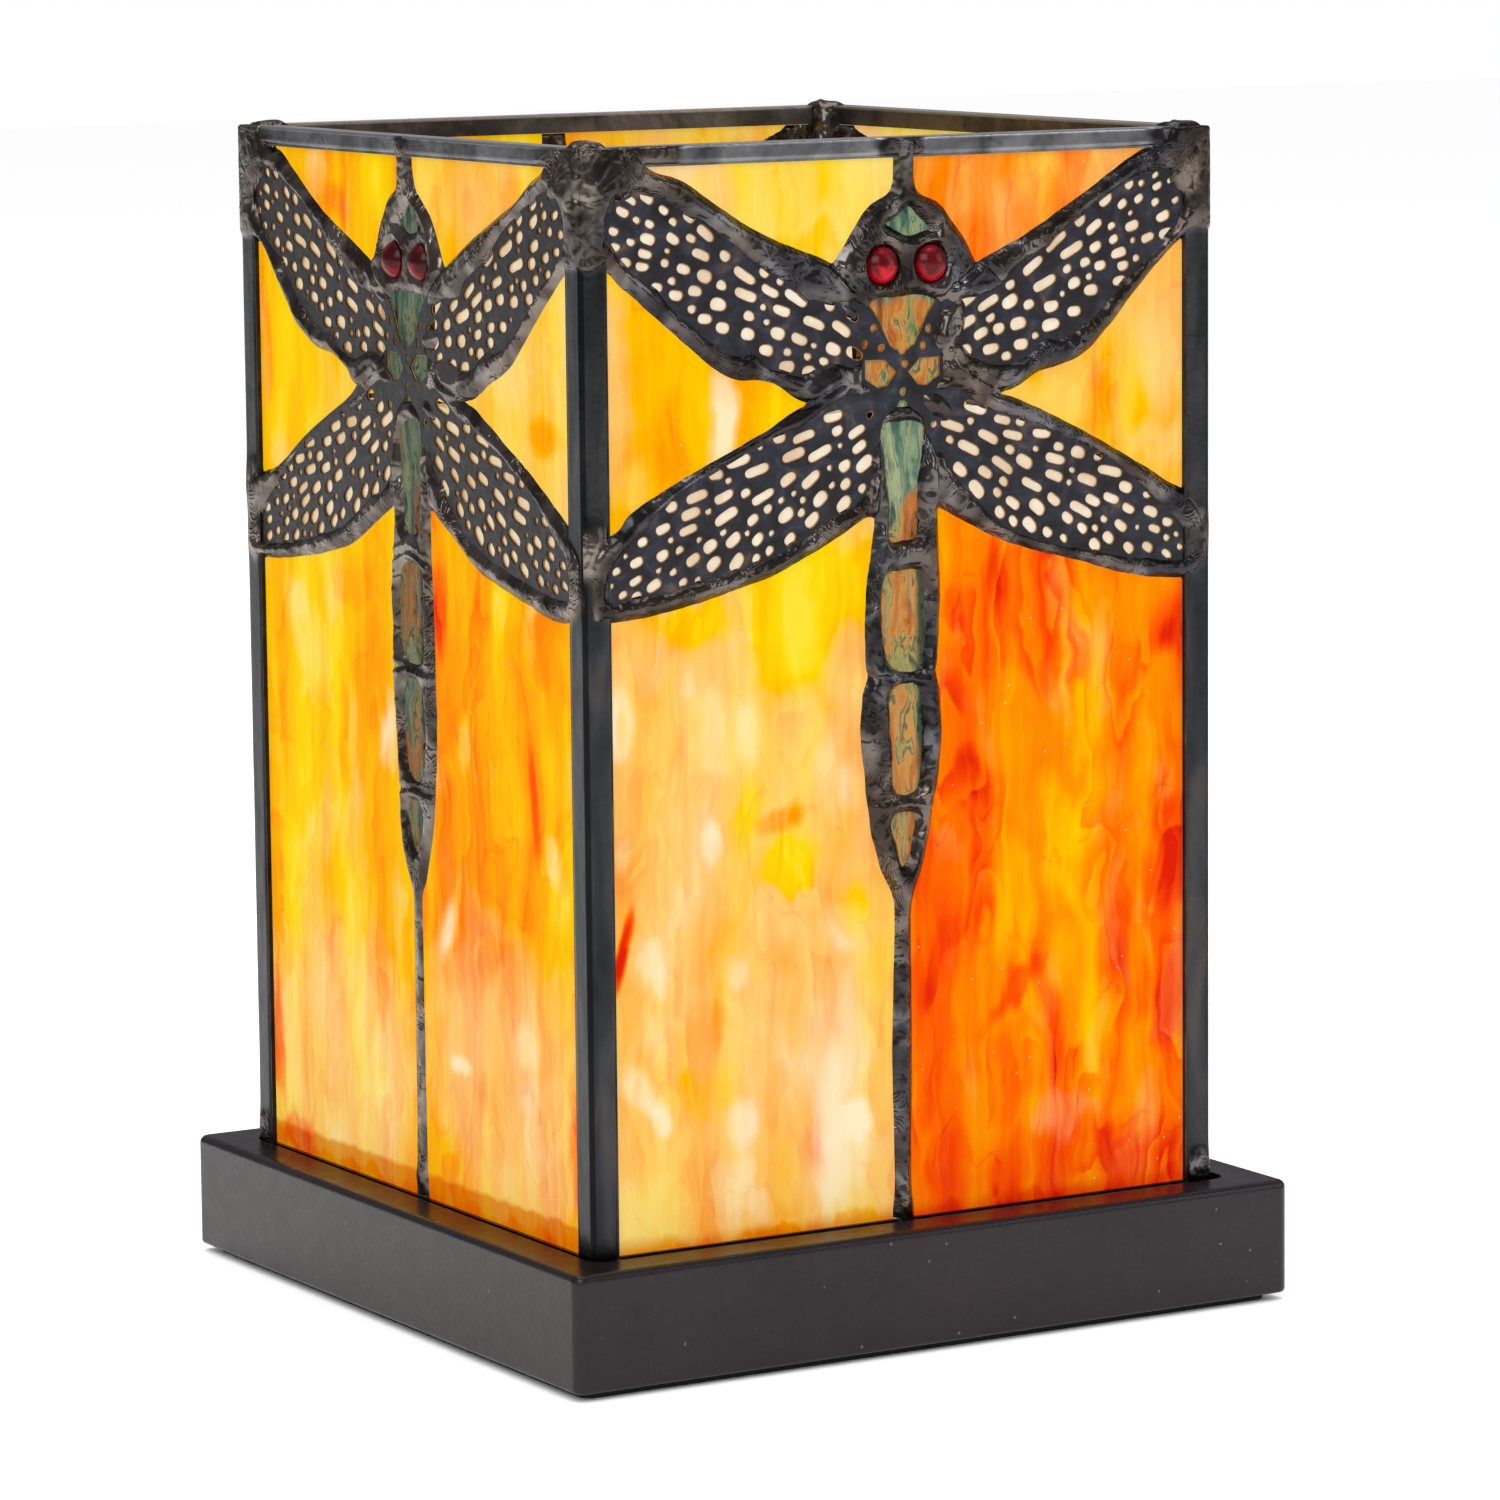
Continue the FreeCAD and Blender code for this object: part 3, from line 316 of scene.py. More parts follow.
def relief_height(drawing, us, vs, outer):
    """Height of the metal above the glass, in mm, over one panel; below 0 where glass shows."""
    u, v = np.meshgrid(us, vs)
    seed = drawing["seed"] + (0 if outer else 50)
    wings = [inside_depth(smooth_closed(wing), us, vs) for wing in drawing["wings"]]
    figure = np.maximum.reduce([inside_depth(body_curve(drawing["body"]), us, vs)] + wings)

    ragged = 0.34 * noise(u / 3.6, v / 3.6, seed) + 0.10 * noise(u / 1.5, v / 1.5, seed + 1)
    windows = [UPPER_WINDOW, mirrored(UPPER_WINDOW), LOWER_WINDOW, mirrored(LOWER_WINDOW[:-4] + NEAR_BODY)]
    shapes = [drawing["crown"], THORAX] + drawing["abdomen"] + windows
    openings = [inside_depth(smooth_closed(shape), us, vs) for shape in shapes]
    if outer:
        bridge = [BRIDGE_RIGHT, mirrored(BRIDGE_RIGHT)]
        openings += [inside_depth(np.array(shape), us, vs) for shape in bridge]
    ragged *= 1 - 0.7 * step_up(v, 112, 118)
    open_depth = np.maximum.reduce(openings)
    metal = np.minimum(figure + ragged * 0.5, -open_depth + ragged)
    for across, down in EYES:
        metal = np.minimum(metal, 2.4 * (np.hypot((u - across) / EYE_ACROSS, (v - down) / EYE_DOWN) - 1))
    for across, down, half_l, half_w, tilt in drawing["drops"] if outer else []:
        turn = math.radians(tilt)
        x = (u - across) * math.cos(turn) + (v - down) * math.sin(turn)
        y = (v - down) * math.cos(turn) - (u - across) * math.sin(turn)
        away = np.hypot(x / half_l, y / half_w) + 0.16 * noise(u / 2.6, v / 2.6, seed + 21)
        metal = np.maximum(metal, np.minimum((1 - away) * half_w, figure))

    on_body = step_up(9.5 - np.abs(u), 0.0, 3.0)
    swell = 1.0 + 0.34 * noise(u / 8, v / 8, seed + 3) + 0.16 * noise(u / 3.4, v / 3.4, seed + 4)
    warp_u = u + 5.0 * noise(u / 9, v / 9, seed + 5)
    warp_v = v + 5.0 * noise(u / 9, v / 9, seed + 6)
    fold = np.abs(noise(warp_u / 4.2, warp_v / 4.2, seed + 7))
    swell += 0.22 * np.clip(1 - fold / 0.07, 0, 1) * step_up(noise(u / 9, v / 9, seed + 10), -0.1, 0.25)
    on_tail = step_up(v, 112, 120) * step_up(6 - np.abs(u), 0.0, 1.0)
    thickness = 1.15 + drawing["body_rise"] * on_body - 0.6 * on_tail
    height = bead(metal, 1.7) * (thickness if outer else 0.7) * swell
    if outer:
        height -= pits(us, vs, metal, seed)
    for across, down, radius, rise in drawing["lumps"] if outer else []:
        height += rise * mound(u, v, across, down, radius) * step_up(metal, 0.0, 1.0)
    for crease in drawing["creases"]:
        for start, end in zip(crease[:-1], crease[1:]):
            away = from_segment(u, v, start, end)
            height -= 0.42 * np.exp(-(away / 0.38) ** 2) * step_up(metal, 0.2, 0.8)
            height += 0.16 * np.exp(-((away - 0.95) / 0.4) ** 2) * step_up(metal, 0.2, 0.8)
    height = np.where(metal > 0, height, np.maximum(metal * 1.1, -0.5))
    if not outer:
        return height, np.zeros(height.shape)

    # the flat metal channels round the panel, which the solder laps over at the wing tips and corners
    in_frame = np.maximum.reduce([np.abs(u) - POST_EDGE, RAIL_DEPTH - v, v - (FOOT - RAIL_DEPTH)])
    flat = GLASS_DEPTH + 0.14 + 0.03 * noise(u / 1.5, v / 9, seed + 8) + 0.03 * noise(u / 8, v / 8, seed + 9)
    channel = np.where(in_frame > 0, flat * bead(in_frame, 0.5), -0.5)
    flooded = np.zeros(u.shape)
    for across, down, radius, rise in drawing["lumps"]:
        flooded += rise * 0.9 * mound(u, v, across, down, radius) * step_up(in_frame, 0.0, 1.0)
    channel += flooded
    came = step_up(channel - height, -0.1, 0.15) * (1 - step_up(flooded, 0.05, 0.25))
    height = np.maximum(height, channel) + 0.12 * np.exp(-((height - channel) / 0.25) ** 2)
    to_corner = np.minimum(HALF + 0.02 - np.abs(u), v + 0.15)
    rounded = np.minimum(height, (GLASS_DEPTH + 0.75) * bead(to_corner + 0.22, 0.9))
    return np.where(to_corner < 0.7, rounded, height), came


def shell_from_heights(name, us, vs, height, came, base, lift):
    """A closed metal skin: the height field in front, and a flat back inside the glass."""
    cols = height.shape[1]
    near = height > -0.15
    cell = near[:-1, :-1] | near[1:, :-1] | near[:-1, 1:] | near[1:, 1:]
    i, j = np.nonzero(cell)
    corners = np.stack([i * cols + j, (i + 1) * cols + j, (i + 1) * cols + j + 1, i * cols + j + 1], 1)
    used, flat_index = np.unique(corners, return_inverse=True)
    front = flat_index.reshape(-1, 4)
    count = len(used)
    edges = np.concatenate([front[:, [k, (k + 1) % 4]] for k in range(4)])
    key = np.sort(edges, 1)
    _, first, times = np.unique(key[:, 0] * count + key[:, 1], return_index=True, return_counts=True)
    rim = edges[first[times == 1]]
    sides = np.stack([rim[:, 1], rim[:, 0], rim[:, 0] + count, rim[:, 1] + count], 1)
    faces = np.concatenate([front, front[:, ::-1] + count, sides])
    u, v, h = us[used % cols], vs[used // cols], height.ravel()[used]
    points = np.concatenate([np.stack([u, -v, h + lift], 1), np.stack([u, -v, np.full(count, base)], 1)])
    shell = new_mesh(name, points, faces)
    smooth = shell.data.attributes.new("came", "FLOAT", "POINT")
    smooth.data.foreach_set("value", np.tile(came.ravel()[used], 2).astype(np.float32))
    return shell


def placed(name, data):
    """A new object in the scene."""
    made = bpy.data.objects.new(name, data)
    bpy.context.scene.collection.objects.link(made)
    return made


def new_mesh(name, points, faces):
    mesh = bpy.data.meshes.new(name)
    mesh.vertices.add(len(points))
    mesh.vertices.foreach_set("co", np.asarray(points, np.float32).ravel())
    mesh.loops.add(faces.size)
    mesh.loops.foreach_set("vertex_index", faces.ravel().astype(np.int32))
    mesh.polygons.add(len(faces))
    mesh.polygons.foreach_set("loop_start", np.arange(0, faces.size, faces.shape[1], dtype=np.int32))
    mesh.update(calc_edges=True)
    mesh.polygons.foreach_set("use_smooth", np.ones(len(faces), bool))
    mesh.validate()
    return placed(name, mesh)


def welded(mesh, distance):
    """Join the mesh's points that lie within the distance of each other."""
    joined = bmesh.new()
    joined.from_mesh(mesh)
    bmesh.ops.remove_doubles(joined, verts=joined.verts, dist=distance)
    joined.to_mesh(mesh)
    joined.free()


def reliefs(side, material):
    drawing = DRAWING[side]
    hand = SCREEN[side]
    step = 0.34
    us = np.arange(-HALF, HALF + step / 2, (2 * HALF) / round(2 * HALF / step))
    vs = np.arange(0.0, FOOT + step / 2, FOOT / round(FOOT / step))
    outer, came = relief_height(drawing, us, vs, True)
    inner_us = np.arange(-48.4, 48.4 + 0.3, 0.6)
    inner_vs = np.arange(3.1, FOOT - 3.1, 0.6)
    inner, no_came = relief_height(drawing, inner_us, inner_vs, False)
    if hand < 0:
        outer, came, inner = outer[:, ::-1], came[:, ::-1], inner[:, ::-1]
    skin = shell_from_heights(side + "_solder_relief", us, vs, outer, came, -GLASS_DEPTH - 0.25,
                              -GLASS_DEPTH)
    skin.data.transform(panel_matrix(side))
    back = shell_from_heights(side + "_solder_inside", inner_us, inner_vs, inner[:, ::-1], no_came, -0.25,
                              0.0)
    inwards = Matrix.Rotation(math.pi, 4, "Y")
    back.data.transform(panel_matrix(side) @ Matrix.Translation((0, 0, -GLASS_DEPTH - GLASS_T)) @ inwards)
    for piece in (skin, back):
        piece.data.materials.append(material)
        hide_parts(side + "_solder")
        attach(piece, "shade")


# ---- material helpers ----
def srgb(*code):
    """A linear colour from 0-255 display values."""
    return tuple(((c / 255 + 0.055) / 1.055) ** 2.4 if c > 10 else c / 255 / 12.92 for c in code)


def material(name):
    made = bpy.data.materials.new(name)
    made.use_nodes = True
    return made, made.node_tree, made.node_tree.nodes["Principled BSDF"]


def feed(tree, node, inputs):
    """Link each named input to a socket, or set its plain value."""
    for key, value in inputs.items():
        if isinstance(value, bpy.types.NodeSocket):
            tree.links.new(value, node.inputs[key])
        else:
            node.inputs[key].default_value = value


def add(tree, kind, inputs=None, **settings):
    made = tree.nodes.new(kind)
    for key, value in settings.items():
        setattr(made, key, value)
    feed(tree, made, inputs or {})
    return made


def axis_of(tree, where, letter):
    return add(tree, "ShaderNodeSeparateXYZ", {"Vector": where}).outputs[letter]


def multiply(tree, a, b):
    return calc(tree, "MULTIPLY", a, b)


def tinted(tree, colour, tint):
    return mix(tree, 1.0, colour, tint, "MULTIPLY")


def ramp(tree, fac, stops):
    made = add(tree, "ShaderNodeValToRGB", {"Fac": fac})
    stops = list(stops)
    while len(made.color_ramp.elements) < len(stops):
        made.color_ramp.elements.new(0.5)
    for element, (place, colour) in zip(made.color_ramp.elements, stops):
        element.position = place
        element.color = (*colour, 1)
    return made.outputs["Color"]


def calc(tree, operation, a, b=0.0, c=0.0):
    return add(tree, "ShaderNodeMath", {0: a, 1: b, 2: c}, operation=operation).outputs[0]


def vector_calc(tree, operation, a, b=(0, 0, 0)):
    return add(tree, "ShaderNodeVectorMath", {0: a, 1: b}, operation=operation).outputs[0]


def mix(tree, factor, a, b, blend="MIX"):
    made = add(tree, "ShaderNodeMix", data_type="RGBA", blend_type=blend)
    sockets = [socket for socket in made.inputs if socket.enabled]
    for socket, value in zip(sockets, (factor, a, b)):
        if isinstance(value, bpy.types.NodeSocket):
            tree.links.new(value, socket)
        else:
            socket.default_value = (*value, 1) if isinstance(value, tuple) else value
    return next(socket for socket in made.outputs if socket.enabled)


def noise_of(tree, where, detail=3.0, roughness=0.5, distortion=0.0, scale=1.0, out="Fac"):
    return add(tree, "ShaderNodeTexNoise", {"Vector": where, "Scale": scale, "Detail": detail,
                                            "Roughness": roughness, "Distortion": distortion}).outputs[out]


def spread(tree, value, low, high, to_low, to_high, clamp=False, **settings):
    inputs = {"Value": value, "From Min": low, "From Max": high, "To Min": to_low, "To Max": to_high}
    return add(tree, "ShaderNodeMapRange", inputs, clamp=clamp, **settings).outputs[0]


def grow(tree, value, low, high, top=1.0):
    """0 where the value is below low, climbing to top at high."""
    return spread(tree, value, low, high, 0.0, top, True)


def fade(tree, value, low, high, top=1.0):
    """The opposite: top below low, falling to 0 at high."""
    return spread(tree, value, low, high, top, 0.0, True)


def mottled(tree, where, scale, low, high):
    """A value that wanders between low and high over the surface."""
    return spread(tree, noise_of(tree, where, 3.0, 0.5, 0.0, scale), 0.3, 0.7, low, high)


def bump(tree, height, distance, strength=1.0, under=None):
    made = add(tree, "ShaderNodeBump", {"Height": height, "Distance": distance * MM, "Strength": strength})
    if under:
        tree.links.new(under, made.inputs["Normal"])
    return made.outputs["Normal"]


def position(tree, scale=(1, 1, 1)):
    """Object coordinates in mm, stretched."""
    coords = add(tree, "ShaderNodeTexCoord").outputs["Object"]
    size = [s / MM for s in scale]
    return add(tree, "ShaderNodeMapping", {"Vector": coords, "Scale": size}).outputs["Vector"]


def panel_position(tree, side):
    """Object coordinates as (across, depth, down) of a panel, in mm."""
    coords = add(tree, "ShaderNodeTexCoord").outputs["Object"]
    turn = -math.radians(SIDES[side])
    middle = Matrix.Rotation(turn, 3, "Z") @ Vector((SHADE_MIDDLE.x, SHADE_MIDDLE.y, 0)) / MM
    return add(tree, "ShaderNodeMapping", {"Vector": coords, "Scale": (1 / MM, 1 / MM, -1 / MM),
                                           "Rotation": (0, 0, turn),
                                           "Location": (-middle.x, -middle.y, TOP)}).outputs["Vector"]


def stretched(tree, where, wide, tall, seed):
    """The position scaled so that noise of scale 1 has features about wide by tall mm."""
    shift = (seed * 7.3, seed * 3.1, seed * 5.7)
    return add(tree, "ShaderNodeMapping", {"Vector": where, "Scale": (1 / wide, 0.02, 1 / tall),
                                           "Location": shift}).outputs["Vector"]


def colour_push(tree, where, wide, tall, seed):
    """A noise vector about zero, which pushes positions about."""
    noisy = noise_of(tree, stretched(tree, where, wide, tall, seed), 2.0, out="Color")
    return vector_calc(tree, "SUBTRACT", noisy, (0.5, 0.5, 0.5))


# ---- metal materials ----
def with_rim_light_and_seam_shade(tree, where, colour):
    """The colour with painted light: a painted highlight paler along the shade's top rim, strongest on the
    front face, a painted bright line on the rim's top edge, and painted shade near black in the seam between
    two posts.
    """
    height = axis_of(tree, where, "Z")
    # painted highlight: the channels painted paler near the rim's top, as if catching the light, most on the
    # front face
    rim_sheen = multiply(tree, grow(tree, height, TOP - 3.5, TOP - 2.9),
                      spread(tree, noise_of(tree, where, 3.0, 0.5, 0.4, 0.12), 0.35, 0.6, 0.15, 0.7, True))
    front_face = SHADE_MIDDLE.y / MM - HALF
    front_face_sheen = spread(tree, axis_of(tree, where, "Y"), front_face + 1.0, front_face + 2.0, 1.15, 0.7, True)
    colour = mix(tree, multiply(tree, rim_sheen, front_face_sheen), colour, srgb(134, 134, 136))
    # painted highlight: a bright glint line along the rim's top edge
    colour = mix(tree, grow(tree, height, TOP - 0.5, TOP - 0.2, 0.6), colour, srgb(205, 205, 208))
    # painted shade: near black in the seam between two posts
    from_middle = [calc(tree, "ABSOLUTE", calc(tree, "SUBTRACT", axis_of(tree, where, letter), middle / MM))
                   for letter, middle in (("X", SHADE_MIDDLE.x), ("Y", SHADE_MIDDLE.y))]
    seam = grow(tree, calc(tree, "MINIMUM", *from_middle), HALF - 0.65, HALF - 0.40, 0.8)
    return mix(tree, seam, colour, srgb(12, 12, 12))


def left_face_light_mask(tree, where):
    """1 on the shade's left face, 0 elsewhere; it marks where that face is painted lit or shaded differently
    from the others.
    """
    left_face = SHADE_MIDDLE.x / MM - HALF
    return grow(tree, axis_of(tree, where, "X"), left_face + 2.6, left_face + 2.0)


def solder_material():
    """Patinated solder, with smoother came where the mesh's "came" value is 1."""
    made, tree, shader = material("patina_solder")
    where = position(tree)
    tone = noise_of(tree, where, 2.0, 0.45, 1.0, 0.13)
    patch = noise_of(tree, where, 1.0, 0.5, 0.6, 0.05)
    black, brown, left_face_lit_solder = (ramp(tree, tone, zip((0.34, 0.50, 0.66), colours)) for colours in (
        (srgb(38, 37, 39), srgb(60, 58, 60), srgb(98, 96, 98)),
        (srgb(46, 39, 35), srgb(68, 60, 54), srgb(102, 93, 86)),
        (srgb(62, 54, 48), srgb(92, 83, 75), srgb(134, 124, 114))))
    lumpy = mix(tree, grow(tree, patch, 0.42, 0.58), black, brown)
    # painted light: the left face's solder painted paler and browner than on the other faces
    lumpy = mix(tree, multiply(tree, left_face_light_mask(tree, where), 0.6), lumpy, left_face_lit_solder)
    long_tone = noise_of(tree, position(tree, (0.16, 0.16, 0.04)), 3.0, 0.5, 0.6, 1.0)
    smooth = ramp(tree, long_tone, [(0.30, srgb(33, 33, 34)), (0.5, srgb(44, 45, 47)),
                                    (0.62, srgb(55, 55, 57)), (0.74, srgb(66, 61, 57))])
    came = add(tree, "ShaderNodeAttribute", attribute_name="came").outputs["Fac"]
    raw = calc(tree, "SUBTRACT", 1.0, came)
    swirl = noise_of(tree, where, 1.0, 0.5, 2.0, 0.16)
    waves = calc(tree, "SINE", multiply(tree, swirl, 60.0))
    where_wrinkled = grow(tree, noise_of(tree, where, 1.0, 0.5, 0.0, 0.11), 0.52, 0.60)
    wrinkled = multiply(tree, multiply(tree, waves, where_wrinkled), raw)
    dents = multiply(tree, noise_of(tree, where, 1.0, 0.4, 0.6, 0.42),
                     calc(tree, "MULTIPLY_ADD", raw, 0.9, 0.1))
    feed(tree, shader, {"Base Color": mix(tree, came, lumpy, with_rim_light_and_seam_shade(tree, where, smooth)), "Metallic": 0.95,
                        "Roughness": spread(tree, tone, 0.3, 0.7, 0.30, 0.18),
                        "Normal": bump(tree, dents, 0.45, 1.0, bump(tree, wrinkled, 0.045))})
    return made


def came_material():
    made, tree, shader = material("patina_came")
    where = position(tree)
    tone = noise_of(tree, where, 4.0, 0.55, 0.6, 0.16)
    colour = ramp(tree, tone, [(0.30, srgb(32, 32, 33)), (0.5, srgb(45, 45, 47)), (0.62, srgb(58, 57, 58)),
                               (0.74, srgb(76, 66, 58))])
    feed(tree, shader, {"Base Color": with_rim_light_and_seam_shade(tree, where, colour), "Metallic": 0.9,
                        "Roughness": mottled(tree, where, 0.6, 0.26, 0.38),
                        "Normal": bump(tree, noise_of(tree, where, 3.0, 0.5, 0.0, 0.5), 0.10)})
    return made


def filigree_material():
    made, tree, shader = material("blued_filigree")
    where = position(tree)
    tone = noise_of(tree, where, 4.0, 0.55, 0.8, 0.22)
    colour = ramp(tree, tone, [(0.30, srgb(17, 16, 18)), (0.47, srgb(29, 29, 34)), (0.58, srgb(37, 40, 52)),
                               (0.66, srgb(60, 53, 51)), (0.75, srgb(92, 78, 64))])
    # painted shade: the left face's filigree painted darker and browner than on the other faces
    colour = mix(tree, multiply(tree, left_face_light_mask(tree, where), 0.75), colour, srgb(28, 24, 22))
    feed(tree, shader, {"Base Color": colour, "Metallic": 0.6,
                        "Roughness": mottled(tree, where, 0.9, 0.30, 0.48),
                        "Normal": bump(tree, noise_of(tree, where, 2.0, 0.5, 0.5, 0.5), 0.08)})
    return made


# ---- glass materials ----
HEAT = [(0.0, srgb(255, 232, 60)), (0.10, srgb(254, 222, 12)), (0.25, srgb(254, 204, 2)),
        (0.40, srgb(254, 180, 1)), (0.55, srgb(254, 148, 1)), (0.70, srgb(254, 114, 2)),
        (0.85, srgb(250, 76, 3)), (1.0, srgb(226, 34, 8))]
MILK = [(0.08, srgb(254, 232, 140)), (0.25, srgb(254, 217, 132)), (0.40, srgb(254, 203, 124)),
        (0.55, srgb(253, 187, 112)), (0.70, srgb(252, 158, 94)), (0.90, srgb(246, 112, 62))]

LARGE_SPOT = 22.0      # half width times half height from which the sheet's streaks pull a spot out of shape
FOOT_SHADE = [(0, FOOT - 2.5, 90, 2.0, 0, 0.12, -0.5)]     # the base's lip keeps light off the glass's foot


def art_glass(name, side, pane, seed):
    """Streaky opalescent glass with a painted glow: it emits its own colour in place of light from behind.

    Each spot is (across, down, half width, half height, tilt, heat, milk): a soft patch that is redder or
    yellower, or milkier or clearer, than the sheet around it.
    """
    hand = SCREEN[side]
    made, tree, shader = material(name)
    where = panel_position(tree, side)

    def field(start, wide, tall, step, detail, roughness=0.5):
        return noise_of(tree, stretched(tree, start, wide, tall, seed + step), detail, roughness)

    def moved(start, push, reach):
        return vector_calc(tree, "ADD", start, vector_calc(tree, "MULTIPLY", push, reach))

    wide_push = colour_push(tree, where, 16, 24, seed)
    near_push = colour_push(tree, where, 5, 9, seed + 1)
    near = moved(where, near_push, (4.0, 0, 11))
    flow = moved(near, wide_push, (10, 0, 40))
    calm = moved(where, near_push, (1.6, 0, 3.0))
    streak = field(flow, 8, 70, 2, 3.0, 0.45)
    thread = field(near, 1.0, 55, 3, 2.0)
    cloud = field(flow, 11, 34, 4, 2.0)
    mottle = field(near, 5, 8, 5, 1.0)
    patch = grow(tree, field(where, 13, 18, 8, 1.0), 0.44, 0.54)
    fold = calc(tree, "FRACT", multiply(tree, field(flow, 9, 26, 6, 1.0), 6.0))
    wisp = calc(tree, "ABSOLUTE", calc(tree, "SUBTRACT", field(flow, 12, 30, 9, 1.0), 0.5))

    heat = spread(tree, streak, 0.34, 0.66, pane["heat"] - pane["streak"], pane["heat"] + pane["streak"])
    heat = calc(tree, "ADD", heat, spread(tree, thread, 0.28, 0.72, -0.045, 0.045))
    heat = calc(tree, "ADD", heat, spread(tree, mottle, 0.28, 0.72, 0.03, -0.03))
    sheet_edge = multiply(tree, fold, fade(tree, fold, 0.90, 1.0))
    heat = calc(tree, "MULTIPLY_ADD", multiply(tree, sheet_edge, patch), pane["fold"], heat)
    line = multiply(tree, fade(tree, wisp, 0.002, 0.010), grow(tree, mottle, 0.42, 0.55))
    heat = calc(tree, "MULTIPLY_ADD", line, 0.10, heat)
    milk = spread(tree, cloud, 0.30, 0.70, pane["milk"] - 0.30, pane["milk"] + 0.30)
    milk = calc(tree, "ADD", milk, spread(tree, mottle, 0.30, 0.70, -0.10, 0.10))
    milk = calc(tree, "ADD", milk, spread(tree, thread, 0.28, 0.72, 0.06, -0.06))
    for across, down, half_w, half_h, tilt, warmer, milkier in pane["spots"] + FOOT_SHADE:
        pushed = calm if half_w * half_h < LARGE_SPOT else near
        local = add(tree, "ShaderNodeMapping", {"Vector": pushed, "Location": (hand * across, 0, down),
                                                "Rotation": (0, -hand * math.radians(tilt), 0),
                                                "Scale": (half_w, 1000, half_h)},
                                                vector_type="TEXTURE").outputs[0]
        away = add(tree, "ShaderNodeVectorMath", {0: local}, operation="LENGTH").outputs["Value"]
        soft = spread(tree, away, 1.2, 0.35, 0.0, 1.0, True, interpolation_type="SMOOTHSTEP")
        if warmer:
            heat = calc(tree, "MULTIPLY_ADD", soft, warmer, heat)
        if milkier:
            milk = calc(tree, "MULTIPLY_ADD", soft, milkier, milk)

    cream = mix(tree, grow(tree, milk, 0.80, 1.45, 0.85), ramp(tree, heat, MILK), srgb(255, 248, 222))
    colour = mix(tree, grow(tree, milk, 0.0, 0.8, 0.95), ramp(tree, heat, HEAT), cream)
    speck = add(tree, "ShaderNodeTexVoronoi", {"Vector": where, "Scale": 0.35}).outputs["Distance"]
    colour = mix(tree, fade(tree, speck, 0.04, 0.07, 0.45), colour, srgb(255, 246, 215))
    # painted shade: the glass painted darker and redder along its foot, in a wider, sharper band on the left
    # and back panels
    down = calc(tree, "ADD", axis_of(tree, where, "Z"), spread(tree, mottle, 0.3, 0.7, -0.5, 0.5))
    band, softness = (7.2, 0.8) if DRAWING[side] is LEFT else (5.4, 2.4)
    foot = grow(tree, down, FOOT - band, FOOT - band + softness)
    colour = mix(tree, foot, colour, (0.80, 0.50, 0.20), "MULTIPLY")
    # painted glow: the glass's colour is also emitted as light
    feed(tree, shader, {"Base Color": tinted(tree, colour, (0.26, 0.22, 0.16)), "Emission Color": colour,
                        "Emission Strength": 0.60, "Specular IOR Level": 0.004,
                        "Roughness": spread(tree, mottle, 0.3, 0.7, 0.07, 0.16),
                        "Normal": bump(tree, field(where, 5, 12, 7, 2.0), 0.25)})
    return made


